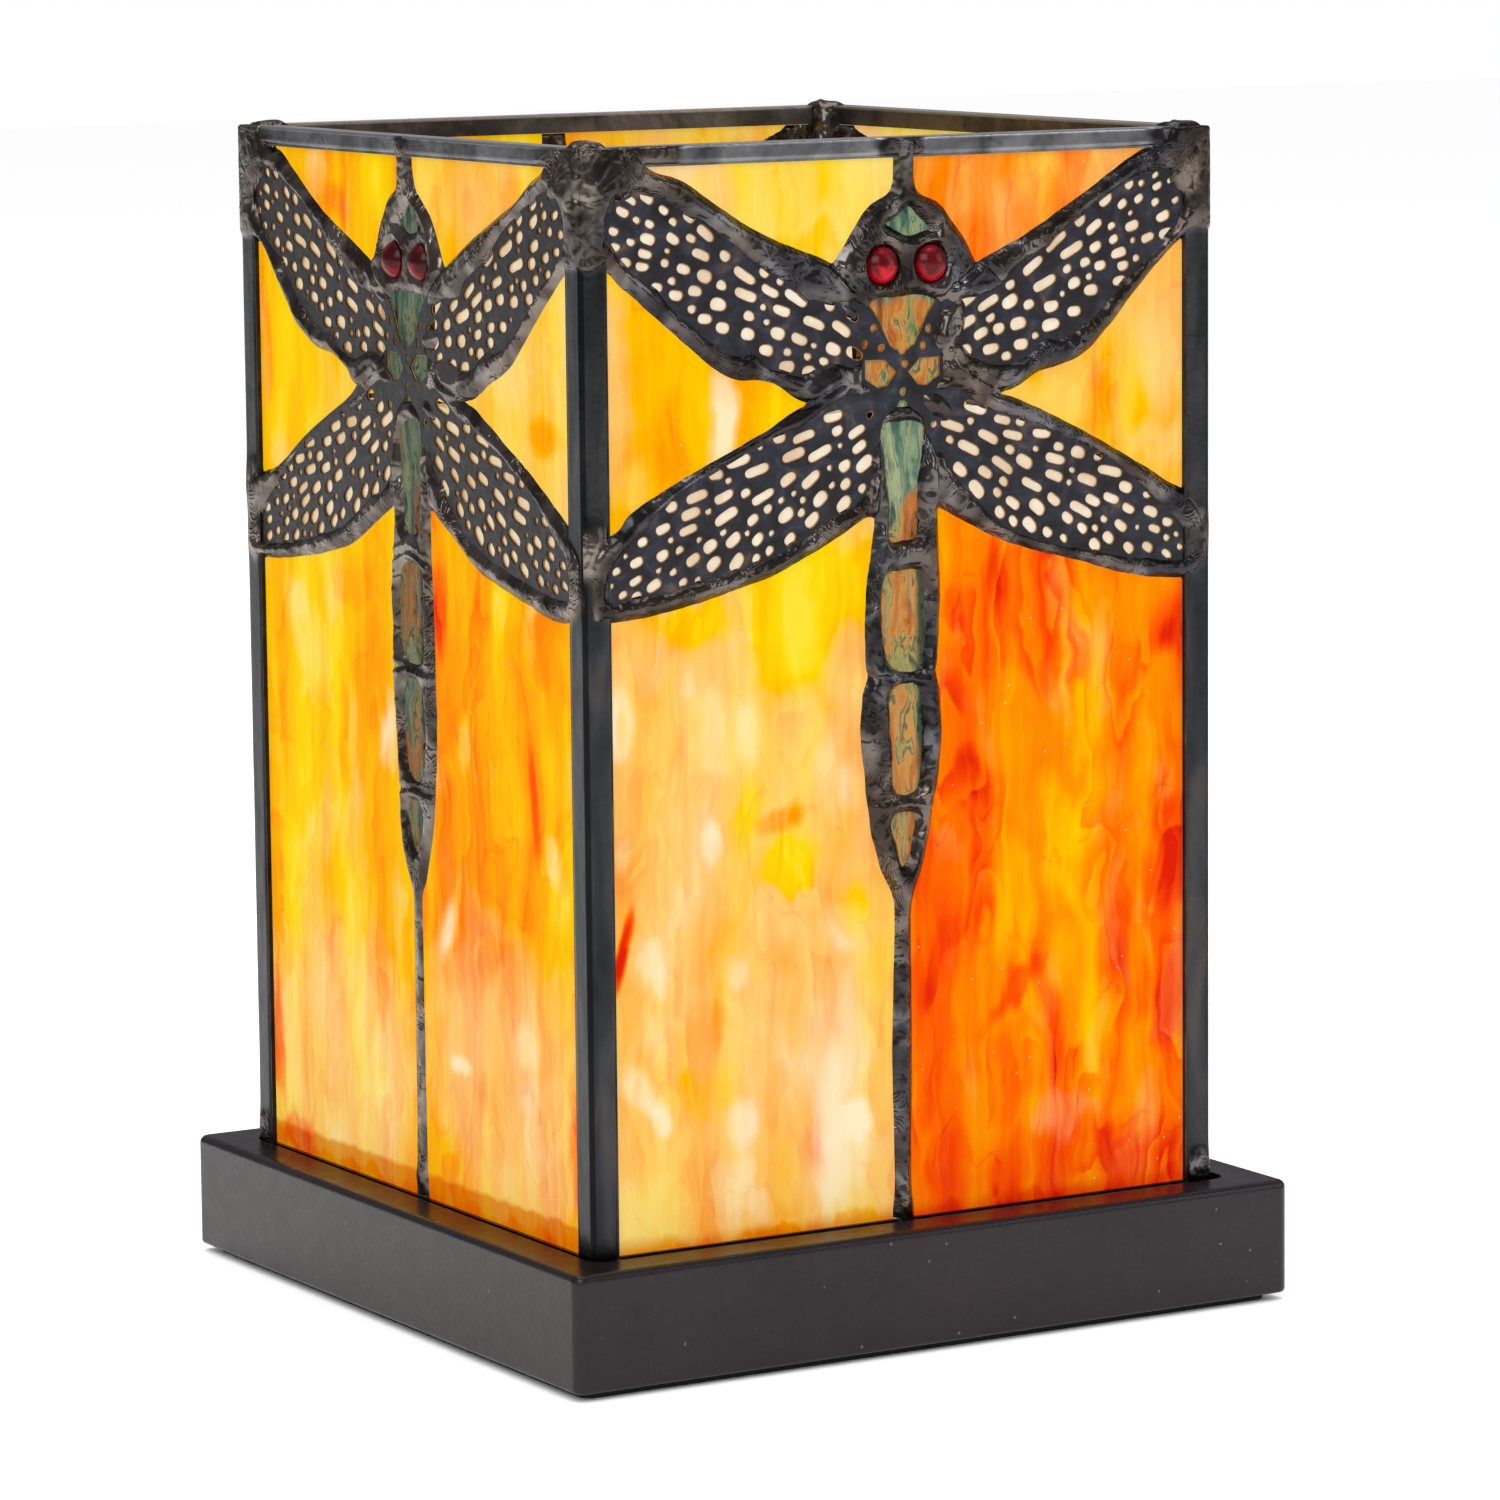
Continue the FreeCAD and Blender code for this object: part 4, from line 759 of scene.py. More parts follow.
FRONT_PANES = {
    "upper_left": dict(heat=0.12, streak=0.08, fold=0.05, milk=0.45, spots=[
        (-4, 5, 7, 7, 0, -0.06, 0.15), (-40, 4, 8, 3, 0, 0.2, 0.35), (-31, 8, 3, 7, 0, 0.12, 0.3),
        (-15, 16, 9, 3, 0, 0.10, -0.3), (-12, 6, 3, 10, 0, 0.05, -0.2)]),
    "upper_right": dict(heat=0.54, streak=0.10, fold=0.06, milk=0.22, spots=[
        (7, 10, 4, 10, 0, 0.06, 0), (14, 16, 5, 5, 0, 0.12, -0.2), (24, 6, 6, 5, 10, -0.14, 0),
        (40, 4, 9, 2, 0, -0.05, 0)]),
    "mid_left": dict(heat=0.36, streak=0.11, fold=0.05, milk=-0.1, spots=[
        (-50.5, 35, 4, 18, 0, 0.06, 0.75), (-40, 44, 3, 9, 6, 0.10, -0.1),
        (-31.5, 41, 3.0, 12, 4, -0.1, 1.5), (-22, 40, 5, 5, 0, -0.14, 0.1), (-47, 50, 4, 4, 0, -0.1, 0.1)]),
    "mid_right": dict(heat=0.34, streak=0.12, fold=0.10, milk=0.32, spots=[
        (26, 41, 7, 6, 0, -0.12, 0.2), (36, 40, 4, 8, 20, 0.14, -0.2), (46, 36, 5, 8, 0, -0.14, 0.4),
        (47, 48, 6, 5, 0, -0.08, 0.6), (53.5, 34, 1.2, 18, 0, 0.3, 0), (36, 33, 5, 3, -40, 0.06, -0.3)]),
    "lower_left": dict(heat=0.31, streak=0.13, fold=0.14, milk=0.58, spots=[
        (-14, 66, 15, 10, -10, -0.16, -0.9), (-20, 76, 8, 9, 0, -0.16, -0.7),
        (-38, 71, 10, 5, 0, -0.14, -0.8), (-50, 70, 4, 6, 0, 0.14, -0.1), (-8, 84, 4, 6, 0, -0.10, 0.1),
        (-49.4, 85, 3.0, 6.5, 0, -0.15, 0.7), (-49.2, 85, 1.4, 4.4, 0, 0.05, -0.5),
        (-33, 89, 5.5, 7, 0, -0.2, 0.1), (-27.5, 88, 2.6, 6, 0, -0.1, 0.4), (-38, 80, 2, 3, 0, 0, 0.25),
        (-34, 104.5, 2.0, 4.5, 0, -0.05, 0.6), (-49, 104, 1.6, 3.4, 0, 0, 0.4),
        (-13, 95, 4, 9, 0, -0.05, 0.45), (-9, 97, 3.4, 5, 0, -0.05, 0.35),
        (-22, 102, 5.0, 2.2, -10, 0.22, -0.4), (-19, 101, 1.4, 3.0, 0, 0.12, -0.3),
        (-20.5, 108.5, 6, 4.4, 0, -0.16, -0.9), (-28, 101, 3.5, 7, 16, -0.05, -0.5),
        (-45, 121, 4.0, 6, 0, -0.1, 0.55), (-49.4, 119, 1.2, 8, 14, 0.55, -0.8),
        (-30, 124, 2.6, 3.2, 0, 0, 0.45), (-11, 119, 4.5, 4.6, 0, -0.05, 0.4),
        (-9, 116, 3.5, 5, 0, -0.12, -0.6), (-47, 140, 3.0, 5.5, -35, -0.1, 0.7),
        (-43, 145, 2, 3.4, -30, -0.05, 0.6), (-29.4, 147, 3.6, 4.6, 0, 0, 0.65),
        (-8.8, 148.5, 3.6, 4.0, 0, -0.08, 0.8), (-14, 138, 9, 14, 0, 0.02, 0.45),
        (-33, 130, 1.4, 9, 8, 0.04, -0.3), (-36, 142, 7, 5, 0, -0.06, -0.3), (-31, 157, 4.4, 8, 0, 0, 0.5),
        (-12, 154, 8, 9, 0, 0.03, 0.5), (-47, 158, 5, 6, 0, -0.1, 0.1), (-26, 160, 2.2, 3.6, 0, 0, 0.45),
        (-44, 132, 3, 5, 0, -0.06, 0.3), (-20, 128, 3, 10, -10, 0.06, -0.3), (-17, 152, 3, 5, 20, 0.2, 0.0),
        (-6, 104, 3, 12, 6, 0.06, 0.3)]),
    "lower_right": dict(heat=0.62, streak=0.16, fold=0.24, milk=-0.16, spots=[
        (18, 68, 2.2, 10, -2, 0.24, 0), (12, 84, 4, 12, 0, -0.02, 0), (49, 76, 5, 7, 0, 0.2, 0.25),
        (53.4, 104, 1.6, 44, 0, 0.16, 0), (52, 84, 2.4, 10, 0, 0.12, 0), (32, 84, 5, 14, 4, -0.10, 0.0),
        (28, 108, 5, 11, -4, -0.22, 0.0), (46, 92, 3, 10, 10, -0.10, 0.35), (48, 101, 3, 5, 0, -0.05, 0.4),
        (8, 108, 4, 5, 0, 0.02, 0.25), (49, 112, 4, 12, 0, 0.14, 0), (20, 131, 2.6, 9, 42, 0.26, 0),
        (27, 140, 2.4, 9, 0, 0.16, 0), (9, 124, 2, 9, 4, 0.06, 0.1), (18, 120, 3, 9, 0, -0.10, 0.1),
        (28, 127, 3, 6, 0, -0.1, 0.2), (38, 125, 4, 12, 12, 0.22, 0), (34, 137, 3, 9, 0, -0.08, 0.1),
        (50, 132, 3, 14, 20, 0.2, 0.3), (37, 148, 3, 8, 20, 0.1, 0.1), (45, 152, 4, 6, 0, 0.0, 0.35),
        (28, 152, 6, 4, 0, 0.05, 0.5), (12, 146, 4, 9, 0, -0.04, 0.2), (30, 160, 26, 9, 0, 0.16, 0.1),
        (6, 158, 3, 8, 0, 0.1, 0.1)]),
}
LEFT_PANES = {
    "upper_left": dict(heat=0.38, streak=0.14, fold=0.06, milk=-0.15, spots=[
        (-8, 7, 5, 8, 0, -0.22, 0), (-23, 11, 5, 3, 25, 0.22, 0.1), (-30, 6, 4, 5, 0, -0.08, 0.4),
        (-34, 5, 8, 3, 0, -0.05, 0.1)]),
    "upper_right": dict(heat=0.28, streak=0.12, fold=0.05, milk=0.22, spots=[
        (20, 8, 5, 8, 0, 0.02, 0.2), (9, 12, 3, 7, 10, 0.10, -0.2), (38, 4, 9, 2, 0, -0.06, 0.1)]),
    "mid_left": dict(heat=0.20, streak=0.13, fold=0.06, milk=-0.02, spots=[
        (-40, 34, 5, 14, 0, -0.06, -0.1), (-50, 34, 3.5, 16, 0, 0.14, 0.25), (-30, 41, 6, 6, 0, 0.04, -0.1),
        (-44, 52, 5, 4, 0, 0.05, 0.3)]),
    "mid_right": dict(heat=0.18, streak=0.10, fold=0.06, milk=0.42, spots=[
        (43, 43, 6, 3.6, 0, 0.18, -0.5), (34, 34, 7, 5, -20, -0.02, 0.2), (50, 28, 3, 8, 0, -0.02, 0.3),
        (26, 41, 5, 4, 0, 0.05, -0.2), (50, 52, 3, 5, 0, 0.15, 0.1)]),
    "lower_left": dict(heat=0.20, streak=0.17, fold=0.11, milk=-0.06, spots=[
        (-37, 80, 7, 12, -20, -0.10, 0.45), (-39, 75, 4, 4, -20, -0.08, 0.4),
        (-24.5, 96, 2.0, 12, 0, 0.24, -0.3), (-40, 108, 6, 4, -20, 0.08, -0.2),
        (-47, 104, 2, 8, 0, -0.10, 0.2), (-20, 70, 9, 5, 0, 0.14, 0), (-27, 72, 4, 7, 0, 0.05, 0.3),
        (-9, 93, 3.6, 6.5, 0, -0.05, 1.2), (-10, 78, 4, 10, 0, 0.06, -0.2), (-44, 98, 5, 20, 0, 0.0, -0.3),
        (-32, 110, 8, 8, 0, 0.0, 0.25), (-6, 120, 3, 8, 0, -0.06, 0.5), (-28, 148, 32, 27, 0, 0.02, 0.72),
        (-13, 147, 4.0, 6.5, 0, -0.26, 0.2), (-16, 84, 5, 12, 0, 0.12, -0.1),
        (-44, 142, 10, 14, 0, 0.08, 0.1), (-49.6, 146, 2.2, 13, 0, 0.48, -0.4),
        (-44, 162.5, 8, 4, 0, 0.46, -0.1), (-13, 147, 1.6, 3.6, 0, 0.1, -0.4),
        (-22, 108, 3, 12, 12, 0.04, 0.2), (-17, 132, 1.6, 14, 10, 0.08, 0.1),
        (-30, 158, 5, 5, 0, -0.06, 0.3)]),
    "lower_right": dict(heat=0.42, streak=0.17, fold=0.13, milk=-0.20, spots=[
        (9, 70, 3, 9, 5, 0.24, -0.2), (13, 78, 3, 12, 20, 0.08, 0), (28, 70, 3, 7, 14, -0.2, 0.45),
        (46, 88, 5, 12, 0, -0.10, 0.1), (16, 92, 2.6, 5, 10, -0.14, 0.35), (38, 98, 1.2, 12, -8, 0.16, 0),
        (43, 106, 2.4, 5, -10, -0.1, 0.8), (39.5, 66, 2.4, 6, 30, -0.16, 0.4),
        (45, 112, 4, 7, 0, -0.12, 0.5), (28, 100, 6, 10, 0, -0.10, 0), (12, 110, 5, 6, 0, 0.0, 0.2),
        (27, 144, 34, 30, 8, -0.10, 0.62), (27, 140, 30, 25, 8, 0.0, 0.35),
        (10, 121, 2.4, 6.5, 26, -0.12, 1.0), (13, 142, 4, 1.8, 0, -0.16, 0.5), (8, 98, 4, 4, 0, -0.05, 0.3),
        (34, 136, 5, 4, 0, -0.18, 0.2), (40, 132, 3, 10, -20, 0.06, -0.1),
        (49.6, 150, 2.6, 12, 0, 0.34, -0.2), (38, 98, 2.0, 10, -6, 0.12, -0.1),
        (20, 72, 1.4, 12, 12, 0.12, 0), (46, 156, 6, 6, 10, 0.1, 0.1), (24, 124, 8, 3, -20, 0.05, -0.2),
        (30, 158, 8, 5, 0, -0.05, 0.1)]),
}
PANES = {"front": FRONT_PANES, "left": LEFT_PANES, "right": FRONT_PANES, "back": LEFT_PANES}


def opal_material(side):
    """Cream glass behind the pierced wings, with a painted glow from emission in place of light from behind.
    """
    made, tree, shader = material(side + "_opal_glass")
    where = panel_position(tree, side)
    tone = noise_of(tree, stretched(tree, where, 9, 12, 2), 3.0)
    speckle = noise_of(tree, stretched(tree, where, 1.2, 1.2, 5), 2.0)
    colour = ramp(tree, tone, [(0.3, srgb(206, 178, 146)), (0.45, srgb(222, 205, 178)),
                               (0.62, srgb(232, 222, 200))])
    colour = mix(tree, grow(tree, speckle, 0.35, 0.7, 0.35), colour, srgb(205, 176, 138))
    # painted shade: the wing glass of the left and back panels painted darker and browner
    if DRAWING[side] is LEFT:
        colour = tinted(tree, colour, (0.90, 0.83, 0.67))
    feed(tree, shader, {"Base Color": tinted(tree, colour, (0.45, 0.45, 0.45)), "Emission Color": colour,
                        "Emission Strength": 0.50, "Roughness": 0.2})
    return made


AMBER_BY_DOWN = {
    "front": [(9, 0.0), (22, 0.0), (26, 0.75), (38, 0.7), (42, 0.05), (51, 0.1), (57, 0.75), (68, 0.75),
              (84, 1.0), (110, 1.0)],
    "left": [(9, 0.0), (22, 0.0), (30, 0.0), (38, 0.05), (42, 0.3), (51, 0.35), (57, 0.3), (68, 0.7),
             (84, 0.6), (110, 0.3)],
}


def body_glass_material(side, shade):
    """Swirled green, teal and amber glass with bubbles, with a faint painted glow from emission in place of
    light from behind, and its colour scaled by shade as painted shade.
    """
    made, tree, shader = material(side + "_body_glass")
    where = panel_position(tree, side)
    push = colour_push(tree, where, 3, 8, 4)
    flow = vector_calc(tree, "ADD", where, vector_calc(tree, "MULTIPLY", push, (5, 0, 14)))
    swirl = noise_of(tree, stretched(tree, flow, 2.2, 12, 8), 3.0, 0.55)
    zone = noise_of(tree, stretched(tree, flow, 5, 14, 12), 2.0)
    amber = ramp(tree, swirl, [(0.30, srgb(104, 62, 18)), (0.42, srgb(170, 96, 24)),
                               (0.52, srgb(180, 128, 58)), (0.60, srgb(148, 140, 78)),
                               (0.70, srgb(36, 66, 44))])
    green = ramp(tree, swirl, [(0.30, srgb(24, 52, 44)), (0.42, srgb(66, 100, 84)),
                               (0.52, srgb(124, 140, 104)), (0.60, srgb(150, 156, 116)),
                               (0.72, srgb(40, 74, 64))])
    down = axis_of(tree, where, "Z")
    drawn = AMBER_BY_DOWN["left" if DRAWING[side] is LEFT else "front"]
    share = ramp(tree, calc(tree, "DIVIDE", down, 120.0), [(v / 120, (amount,) * 3) for v, amount in drawn])
    chosen = calc(tree, "ADD", share, spread(tree, zone, 0.35, 0.65, -0.35, 0.35))
    colour = mix(tree, grow(tree, chosen, 0.35, 0.6), green, amber)
    crack = fade(tree, calc(tree, "ABSOLUTE", calc(tree, "SUBTRACT", swirl, 0.56)), 0.0, 0.02, 0.8)
    colour = mix(tree, crack, colour, srgb(24, 56, 44))
    # painted shade: a dark green strip down one side of the lower abdomen's windows, as if shaded by the
    # solder wall beside it
    across = multiply(tree, axis_of(tree, where, "X"), SCREEN[side])
    wall_shade = multiply(tree, grow(tree, across, 1.9, 2.9, 0.9), grow(tree, down, 62, 66))
    colour = tinted(tree, mix(tree, wall_shade, colour, srgb(14, 38, 24)), (shade,) * 3)
    bubble = add(tree, "ShaderNodeTexVoronoi", {"Vector": where, "Scale": 0.55}).outputs["Distance"]
    first = bump(tree, fade(tree, bubble, 0.0, 0.3), 0.35)
    feed(tree, shader, {"Base Color": colour, "Emission Color": colour, "Emission Strength": 0.12,
                        "Roughness": 0.12, "Specular IOR Level": 0.25 if shade > 0.5 else 0.06,
                        "Normal": bump(tree, swirl, 0.4, 1.0, first)})
    return made


def ruby_material():
    """Polished red cabochons with painted light: a painted glow, brighter red towards their lower edge, and
    a paler top as a painted highlight.
    """
    made, tree, shader = material("ruby_cabochon")
    where = position(tree)
    eye_low, eye_high = (corner.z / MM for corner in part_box("eye_jewels"))
    # painted glow and highlight: bright red at the bottom, dark in the middle, paler red at the top
    lift = grow(tree, axis_of(tree, where, "Z"), eye_low, eye_high)
    cloud = noise_of(tree, where, 2.0, 0.5, 1.0, 0.5)
    cloudy = calc(tree, "ADD", lift, spread(tree, cloud, 0.3, 0.7, -0.25, 0.25))
    colour = ramp(tree, cloudy, [(0.0, srgb(176, 2, 28)), (0.25, srgb(138, 0, 14)), (0.5, srgb(76, 0, 4)),
                                 (0.8, srgb(64, 1, 8)), (1.0, srgb(112, 10, 26))])
    # painted shade: the eyes on the left face painted darker than on the other faces
    colour = mix(tree, left_face_light_mask(tree, where), colour, (0.42, 0.5, 0.5), "MULTIPLY")
    feed(tree, shader, {"Base Color": colour, "Emission Color": colour, "Emission Strength": 0.10,
                        "Roughness": 0.22, "Specular IOR Level": 0.15, "Coat Weight": 0.07,
                        "Coat Roughness": 0.32})
    return made


# ---- base and holder materials ----
def paint_material():
    made, tree, shader = material("charcoal_paint")
    where = position(tree)
    tone = noise_of(tree, where, 4.0, 0.6, 0.0, 0.05)
    colour = ramp(tree, tone, [(0.3, srgb(20, 14, 18)), (0.7, srgb(27, 20, 25))])
    speck = add(tree, "ShaderNodeTexVoronoi", {"Vector": where, "Scale": 0.22}).outputs["Distance"]
    colour = mix(tree, fade(tree, speck, 0.03, 0.06, 0.5), colour, srgb(120, 116, 112))
    grain = bump(tree, noise_of(tree, position(tree, (0.05, 0.9, 0.9)), 3.0), 0.012)
    feed(tree, shader, {"Base Color": colour, "Specular IOR Level": 0.28,
                        "Roughness": mottled(tree, where, 0.3, 0.24, 0.34),
                        "Normal": bump(tree, noise_of(tree, where, 2.0, 0.5, 0.0, 1.6), 0.03, 1.0, grain)})
    return made


def plain_material(name, dark, light, metallic, rough, scale=0.4, depth=0.05, glow=0.0):
    """A finish for the holder's small pieces: mottled between two colours, with a fine grain."""
    made, tree, shader = material(name)
    where = position(tree)
    tone = noise_of(tree, where, 4.0, 0.6, 0.4, scale)
    colour = ramp(tree, tone, [(0.3, srgb(*dark)), (0.7, srgb(*light))])
    feed(tree, shader, {"Base Color": colour, "Metallic": metallic,
                        "Roughness": spread(tree, tone, 0.3, 0.7, rough - 0.06, rough + 0.08),
                        "Normal": bump(tree, noise_of(tree, where, 3.0, 0.5, 0.0, 1.5), depth)})
    if glow:
        feed(tree, shader, {"Emission Color": colour, "Emission Strength": glow})
    return made


def finish_cad(node, made):
    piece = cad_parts[node]
    piece.data.materials.clear()
    piece.data.materials.append(made)


# ---- pierced filigree ----
def point_depth(curve, u, v):
    """Signed distance from a closed curve, positive inside, at one point."""
    (u0, v0), (u1, v1) = curve.T, np.roll(curve, -1, 0).T
    away = from_segment(u, v, (u0, v0), (u1, v1)).min()
    spans = (v0 <= v) != (v1 <= v)
    cross = u0 + (v - v0) / np.where(v1 == v0, 1, v1 - v0) * (u1 - u0)
    return away if (spans & (u < cross)).sum() % 2 else -away


def oval(rng, u, v, straight, radius, tilt):
    """An uneven rounded slot, as (across, down) points: half its straight length, and its end radius."""
    points = []
    bend = rng.uniform(-0.14, 0.14)
    swell = rng.uniform(-0.14, 0.14)
    belly = 0.16 * min(straight, 0.6)
    for k in range(22):
        angle = 2 * math.pi * (k + 0.5) / 22
        x = radius * math.cos(angle) + straight * math.tanh(2.5 * math.cos(angle))
        y = radius * math.sin(angle) * (1 + swell * math.cos(angle) + belly * math.sin(angle) ** 2)
        y += bend * (x / (straight + radius)) ** 2
        points.append((u + x * math.cos(tilt) - y * math.sin(tilt),
                       v + x * math.sin(tilt) + y * math.cos(tilt)))
    return points


# tries, half straight length, end radius, furthest along the wing, furthest towards the trailing edge
PIERCINGS = [(90, (0.9, 1.7), (0.72, 0.88), 0.66, 2.5), (500, (0.25, 0.85), (0.80, 1.04), 0.95, 9.0),
             (700, (0.1, 0.4), (0.66, 0.84), 1.1, 9.0), (500, (0.0, 0.2), (0.52, 0.66), 1.1, 9.0)]
TAPER_START = 0.6      # how far along the wing, as a share of its length, the holes begin to shrink
TIP_TAPER = 0.7        # how much they shrink by for a whole wing's length past that
FAN = 0.045            # radians a slot turns for each mm towards the trailing edge


def wing_holes(rng, window, plate, root, tip, hand, nearest):
    """Slots and round holes packed along a wing, the long ones near its root and its leading edge."""
    span = math.dist(root, tip)
    along = np.array([tip[0] - root[0], tip[1] - root[1]]) / span
    trailing = np.array([-along[1], along[0]]) * hand
    axis = math.atan2(along[1], along[0])
    holes, taken, taken_radius = [], np.zeros((0, 2)), np.zeros(0)
    for tries, straights, radii, reach, most_trailing in PIERCINGS:
        for _ in range(tries):
            run, off = rng.uniform(-0.05, reach) * span, rng.uniform(-9.0, most_trailing)
            straight, radius, gap = rng.uniform(*straights), rng.uniform(*radii), rng.uniform(0.34, 0.52)
            taper = 1 - TIP_TAPER * max(run / span - TAPER_START, 0.0)
            straight, radius = straight * taper, max(radius * taper, 0.5)
            spot = np.array(root) + along * run + trailing * off
            tilt = axis + hand * FAN * off + rng.uniform(-0.10, 0.10)
            ray = np.array([math.cos(tilt), math.sin(tilt)])
            beads = spot + np.linspace(-straight, straight, 5)[:, None] * ray
            if len(taken):
                apart = np.linalg.norm(taken[:, None] - beads[None], axis=2) - taken_radius[:, None] - radius
                if apart.min() < gap:
                    continue
            beside_body = abs(spot[0]) < 11 and 36 < spot[1] < 42
            if beside_body or abs(spot[0]) < nearest or point_depth(window, *spot) < 0.1:
                continue
            if min(point_depth(plate, *beads[0]), point_depth(plate, *beads[4])) < radius + 0.3:
                continue
            holes.append(oval(rng, spot[0], spot[1], straight, radius, tilt))
            taken = np.concatenate([taken, beads])
            taken_radius = np.concatenate([taken_radius, np.full(5, radius)])
    return holes


def filigree(side, made, core):
    rng = np.random.default_rng(DRAWING[side]["seed"] + abs(SIDES[side]))
    right = smooth_closed(FILIGREE_RIGHT, 3)[:-2]
    plate = np.concatenate([right, right[::-1] * (-1, 1)])
    holes = [SIDE_HOLE, mirrored(SIDE_HOLE)]
    for across, down in BRIDGE_HOLES:
        holes.append(oval(rng, across, down, 0.12, 0.62, rng.uniform(0, 3)))
    upper, lower = ((9, 29.5), (50, 7.5)), ((9, 44.5), (52, 65))
    lower_left = mirrored(LOWER_WINDOW[:-4] + NEAR_BODY)
    windows = [(UPPER_WINDOW, upper, 1, 8.0), (mirrored(UPPER_WINDOW), upper, -1, 8.0),
               (LOWER_WINDOW, lower, 1, 8.0), (lower_left, lower, -1, 6.0)]
    for window, ends, hand, nearest in windows:
        root, tip = ((hand * across, down) for across, down in ends)
        holes += wing_holes(rng, smooth_closed(window, 3), plate, root, tip, hand, nearest)
    pierced_plate(side, "_filigree", plate, holes, 0.0, 0.10, made)
    pierced_plate(side, "_filigree_core", plate, holes, 0.17, -0.10, core)


def pierced_plate(side, suffix, plate, holes, narrowed, depth, made):
    """A thin sheet with every hole narrowed by the given amount, at a depth from the filigree's middle."""
    data = bpy.data.curves.new(side + suffix, "CURVE")
    data.dimensions = "2D"
    data.fill_mode = "BOTH"
    data.extrude = 0.08
    data.bevel_depth = 0.02
    data.bevel_resolution = 0
    for k, outline in enumerate([plate] + holes):
        points = np.array(outline)
        if k:
            middle = points.mean(0)
            reach = np.linalg.norm(points - middle, axis=1)[:, None]
            points = middle + (points - middle) * (reach - narrowed) / reach
        spline = data.splines.new("POLY")
        spline.points.add(len(points) - 1)
        for point, (u, v) in zip(spline.points, points):
            point.co = (SCREEN[side] * u, -v, 0, 1)
        spline.use_cyclic_u = True
    flat = placed(side + suffix + "_outline", data)
    mesh = bpy.data.meshes.new_from_object(flat.evaluated_get(bpy.context.evaluated_depsgraph_get()))
    bpy.data.objects.remove(flat)
    welded(mesh, 0.004)
    mesh.transform(panel_matrix(side) @ Matrix.Translation((0, 0, -GLASS_DEPTH + 0.2 + depth)))
    mesh.materials.clear()
    mesh.materials.append(made)
    piece = placed(side + suffix, mesh)
    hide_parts("wing_filigrees")
    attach(piece, "shade")


# ---- solder piled on the shade's top corners ----
def corner_lump(name, hand_x, hand_y, seed, made):
    """A rounded, folded lump of solder over a top corner of the shade."""
    half_size = Vector((3.75, 3.75, 6.2))
    middle = Vector((hand_x * (HALF - 3.35), hand_y * (HALF - 3.35), TOP - 5.5))
    around, rings = 64, 40
    points = []
    for i in range(rings + 1):
        polar = math.pi * i / rings
        for j in range(around):
            turn = 2 * math.pi * j / around
            ray = Vector((math.sin(polar) * math.cos(turn), math.sin(polar) * math.sin(turn),
                          math.cos(polar)))
            square = sum(abs(c) ** 3.4 for c in ray) ** (-1 / 3.4)
            spot = Vector([ray[k] * square * half_size[k] for k in range(3)])
            sinking = 1 - 0.16 * max(0.0, -spot.z / half_size.z) ** 1.5
            spot = Vector((spot.x * sinking, spot.y * sinking, spot.z))
            swell = 0.50 * blender_noise.noise(spot * 0.20 + Vector((seed, 0, 0)))
            swell += 0.15 * blender_noise.noise(spot * 0.45 + Vector((0, seed, 0)))
            ridge = abs(blender_noise.noise(spot * 0.22 + Vector((0, 0, seed + 0.5))))
            swell += 0.28 * max(0.0, 1 - ridge / 0.14)
            points.append(middle + spot + ray * swell)
    faces = [(i * around + j, (i + 1) * around + j, (i + 1) * around + (j + 1) % around,
              i * around + (j + 1) % around) for i in range(rings) for j in range(around)]
    piece = new_mesh(name, np.array(points), np.array(faces))
    piece.data.transform(TO_SHADE)
    welded(piece.data, 0.01 * MM)
    piece.data.materials.append(made)
    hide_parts("front_solder")
    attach(piece, "shade")


# ---- put the object together ----
SOLDER = solder_material()
CAME = came_material()
FILIGREE = filigree_material()
FILIGREE_CORE = plain_material("filigree_brass_edge", (96, 62, 30), (168, 120, 66), 0.4, 0.4)
RUBY = ruby_material()
for index, (hand_x, hand_y) in enumerate([(-1, -1), (1, -1), (1, 1), (-1, 1)]):
    corner_lump("corner_solder_" + str(index + 1), hand_x, hand_y, 3.7 * index + 1.3, SOLDER)
for index, side_name in enumerate(SIDES):
    reliefs(side_name, SOLDER)
    filigree(side_name, FILIGREE, FILIGREE_CORE)
    finish_cad(side_name + "_wing_glass", opal_material(side_name))
    # painted shade: the body glass of the left and back panels painted darker than on the front and right
    brightness = 0.34 if DRAWING[side_name] is LEFT else 0.72
    finish_cad(side_name + "_body_glass", body_glass_material(side_name, brightness))
    for k, (pane_name, recipe) in enumerate(PANES[side_name].items()):
        level, pane_hand = pane_name.split("_")
        if SCREEN[side_name] < 0:
            pane_hand = "left" if pane_hand == "right" else "right"
        node_name = side_name + "_glass_" + level + "_" + pane_hand
        finish_cad(node_name, art_glass(node_name, side_name, recipe, 1 + k + 10 * index))
BRASS = plain_material("drawn_brass", (176, 134, 62), (222, 186, 108), 1.0, 0.28)
ZINC = plain_material("zinc_plate", (140, 142, 146), (190, 190, 188), 1.0, 0.34)
PHENOLIC = plain_material("moulded_phenolic", (28, 21, 18), (48, 38, 33), 0.0, 0.28)
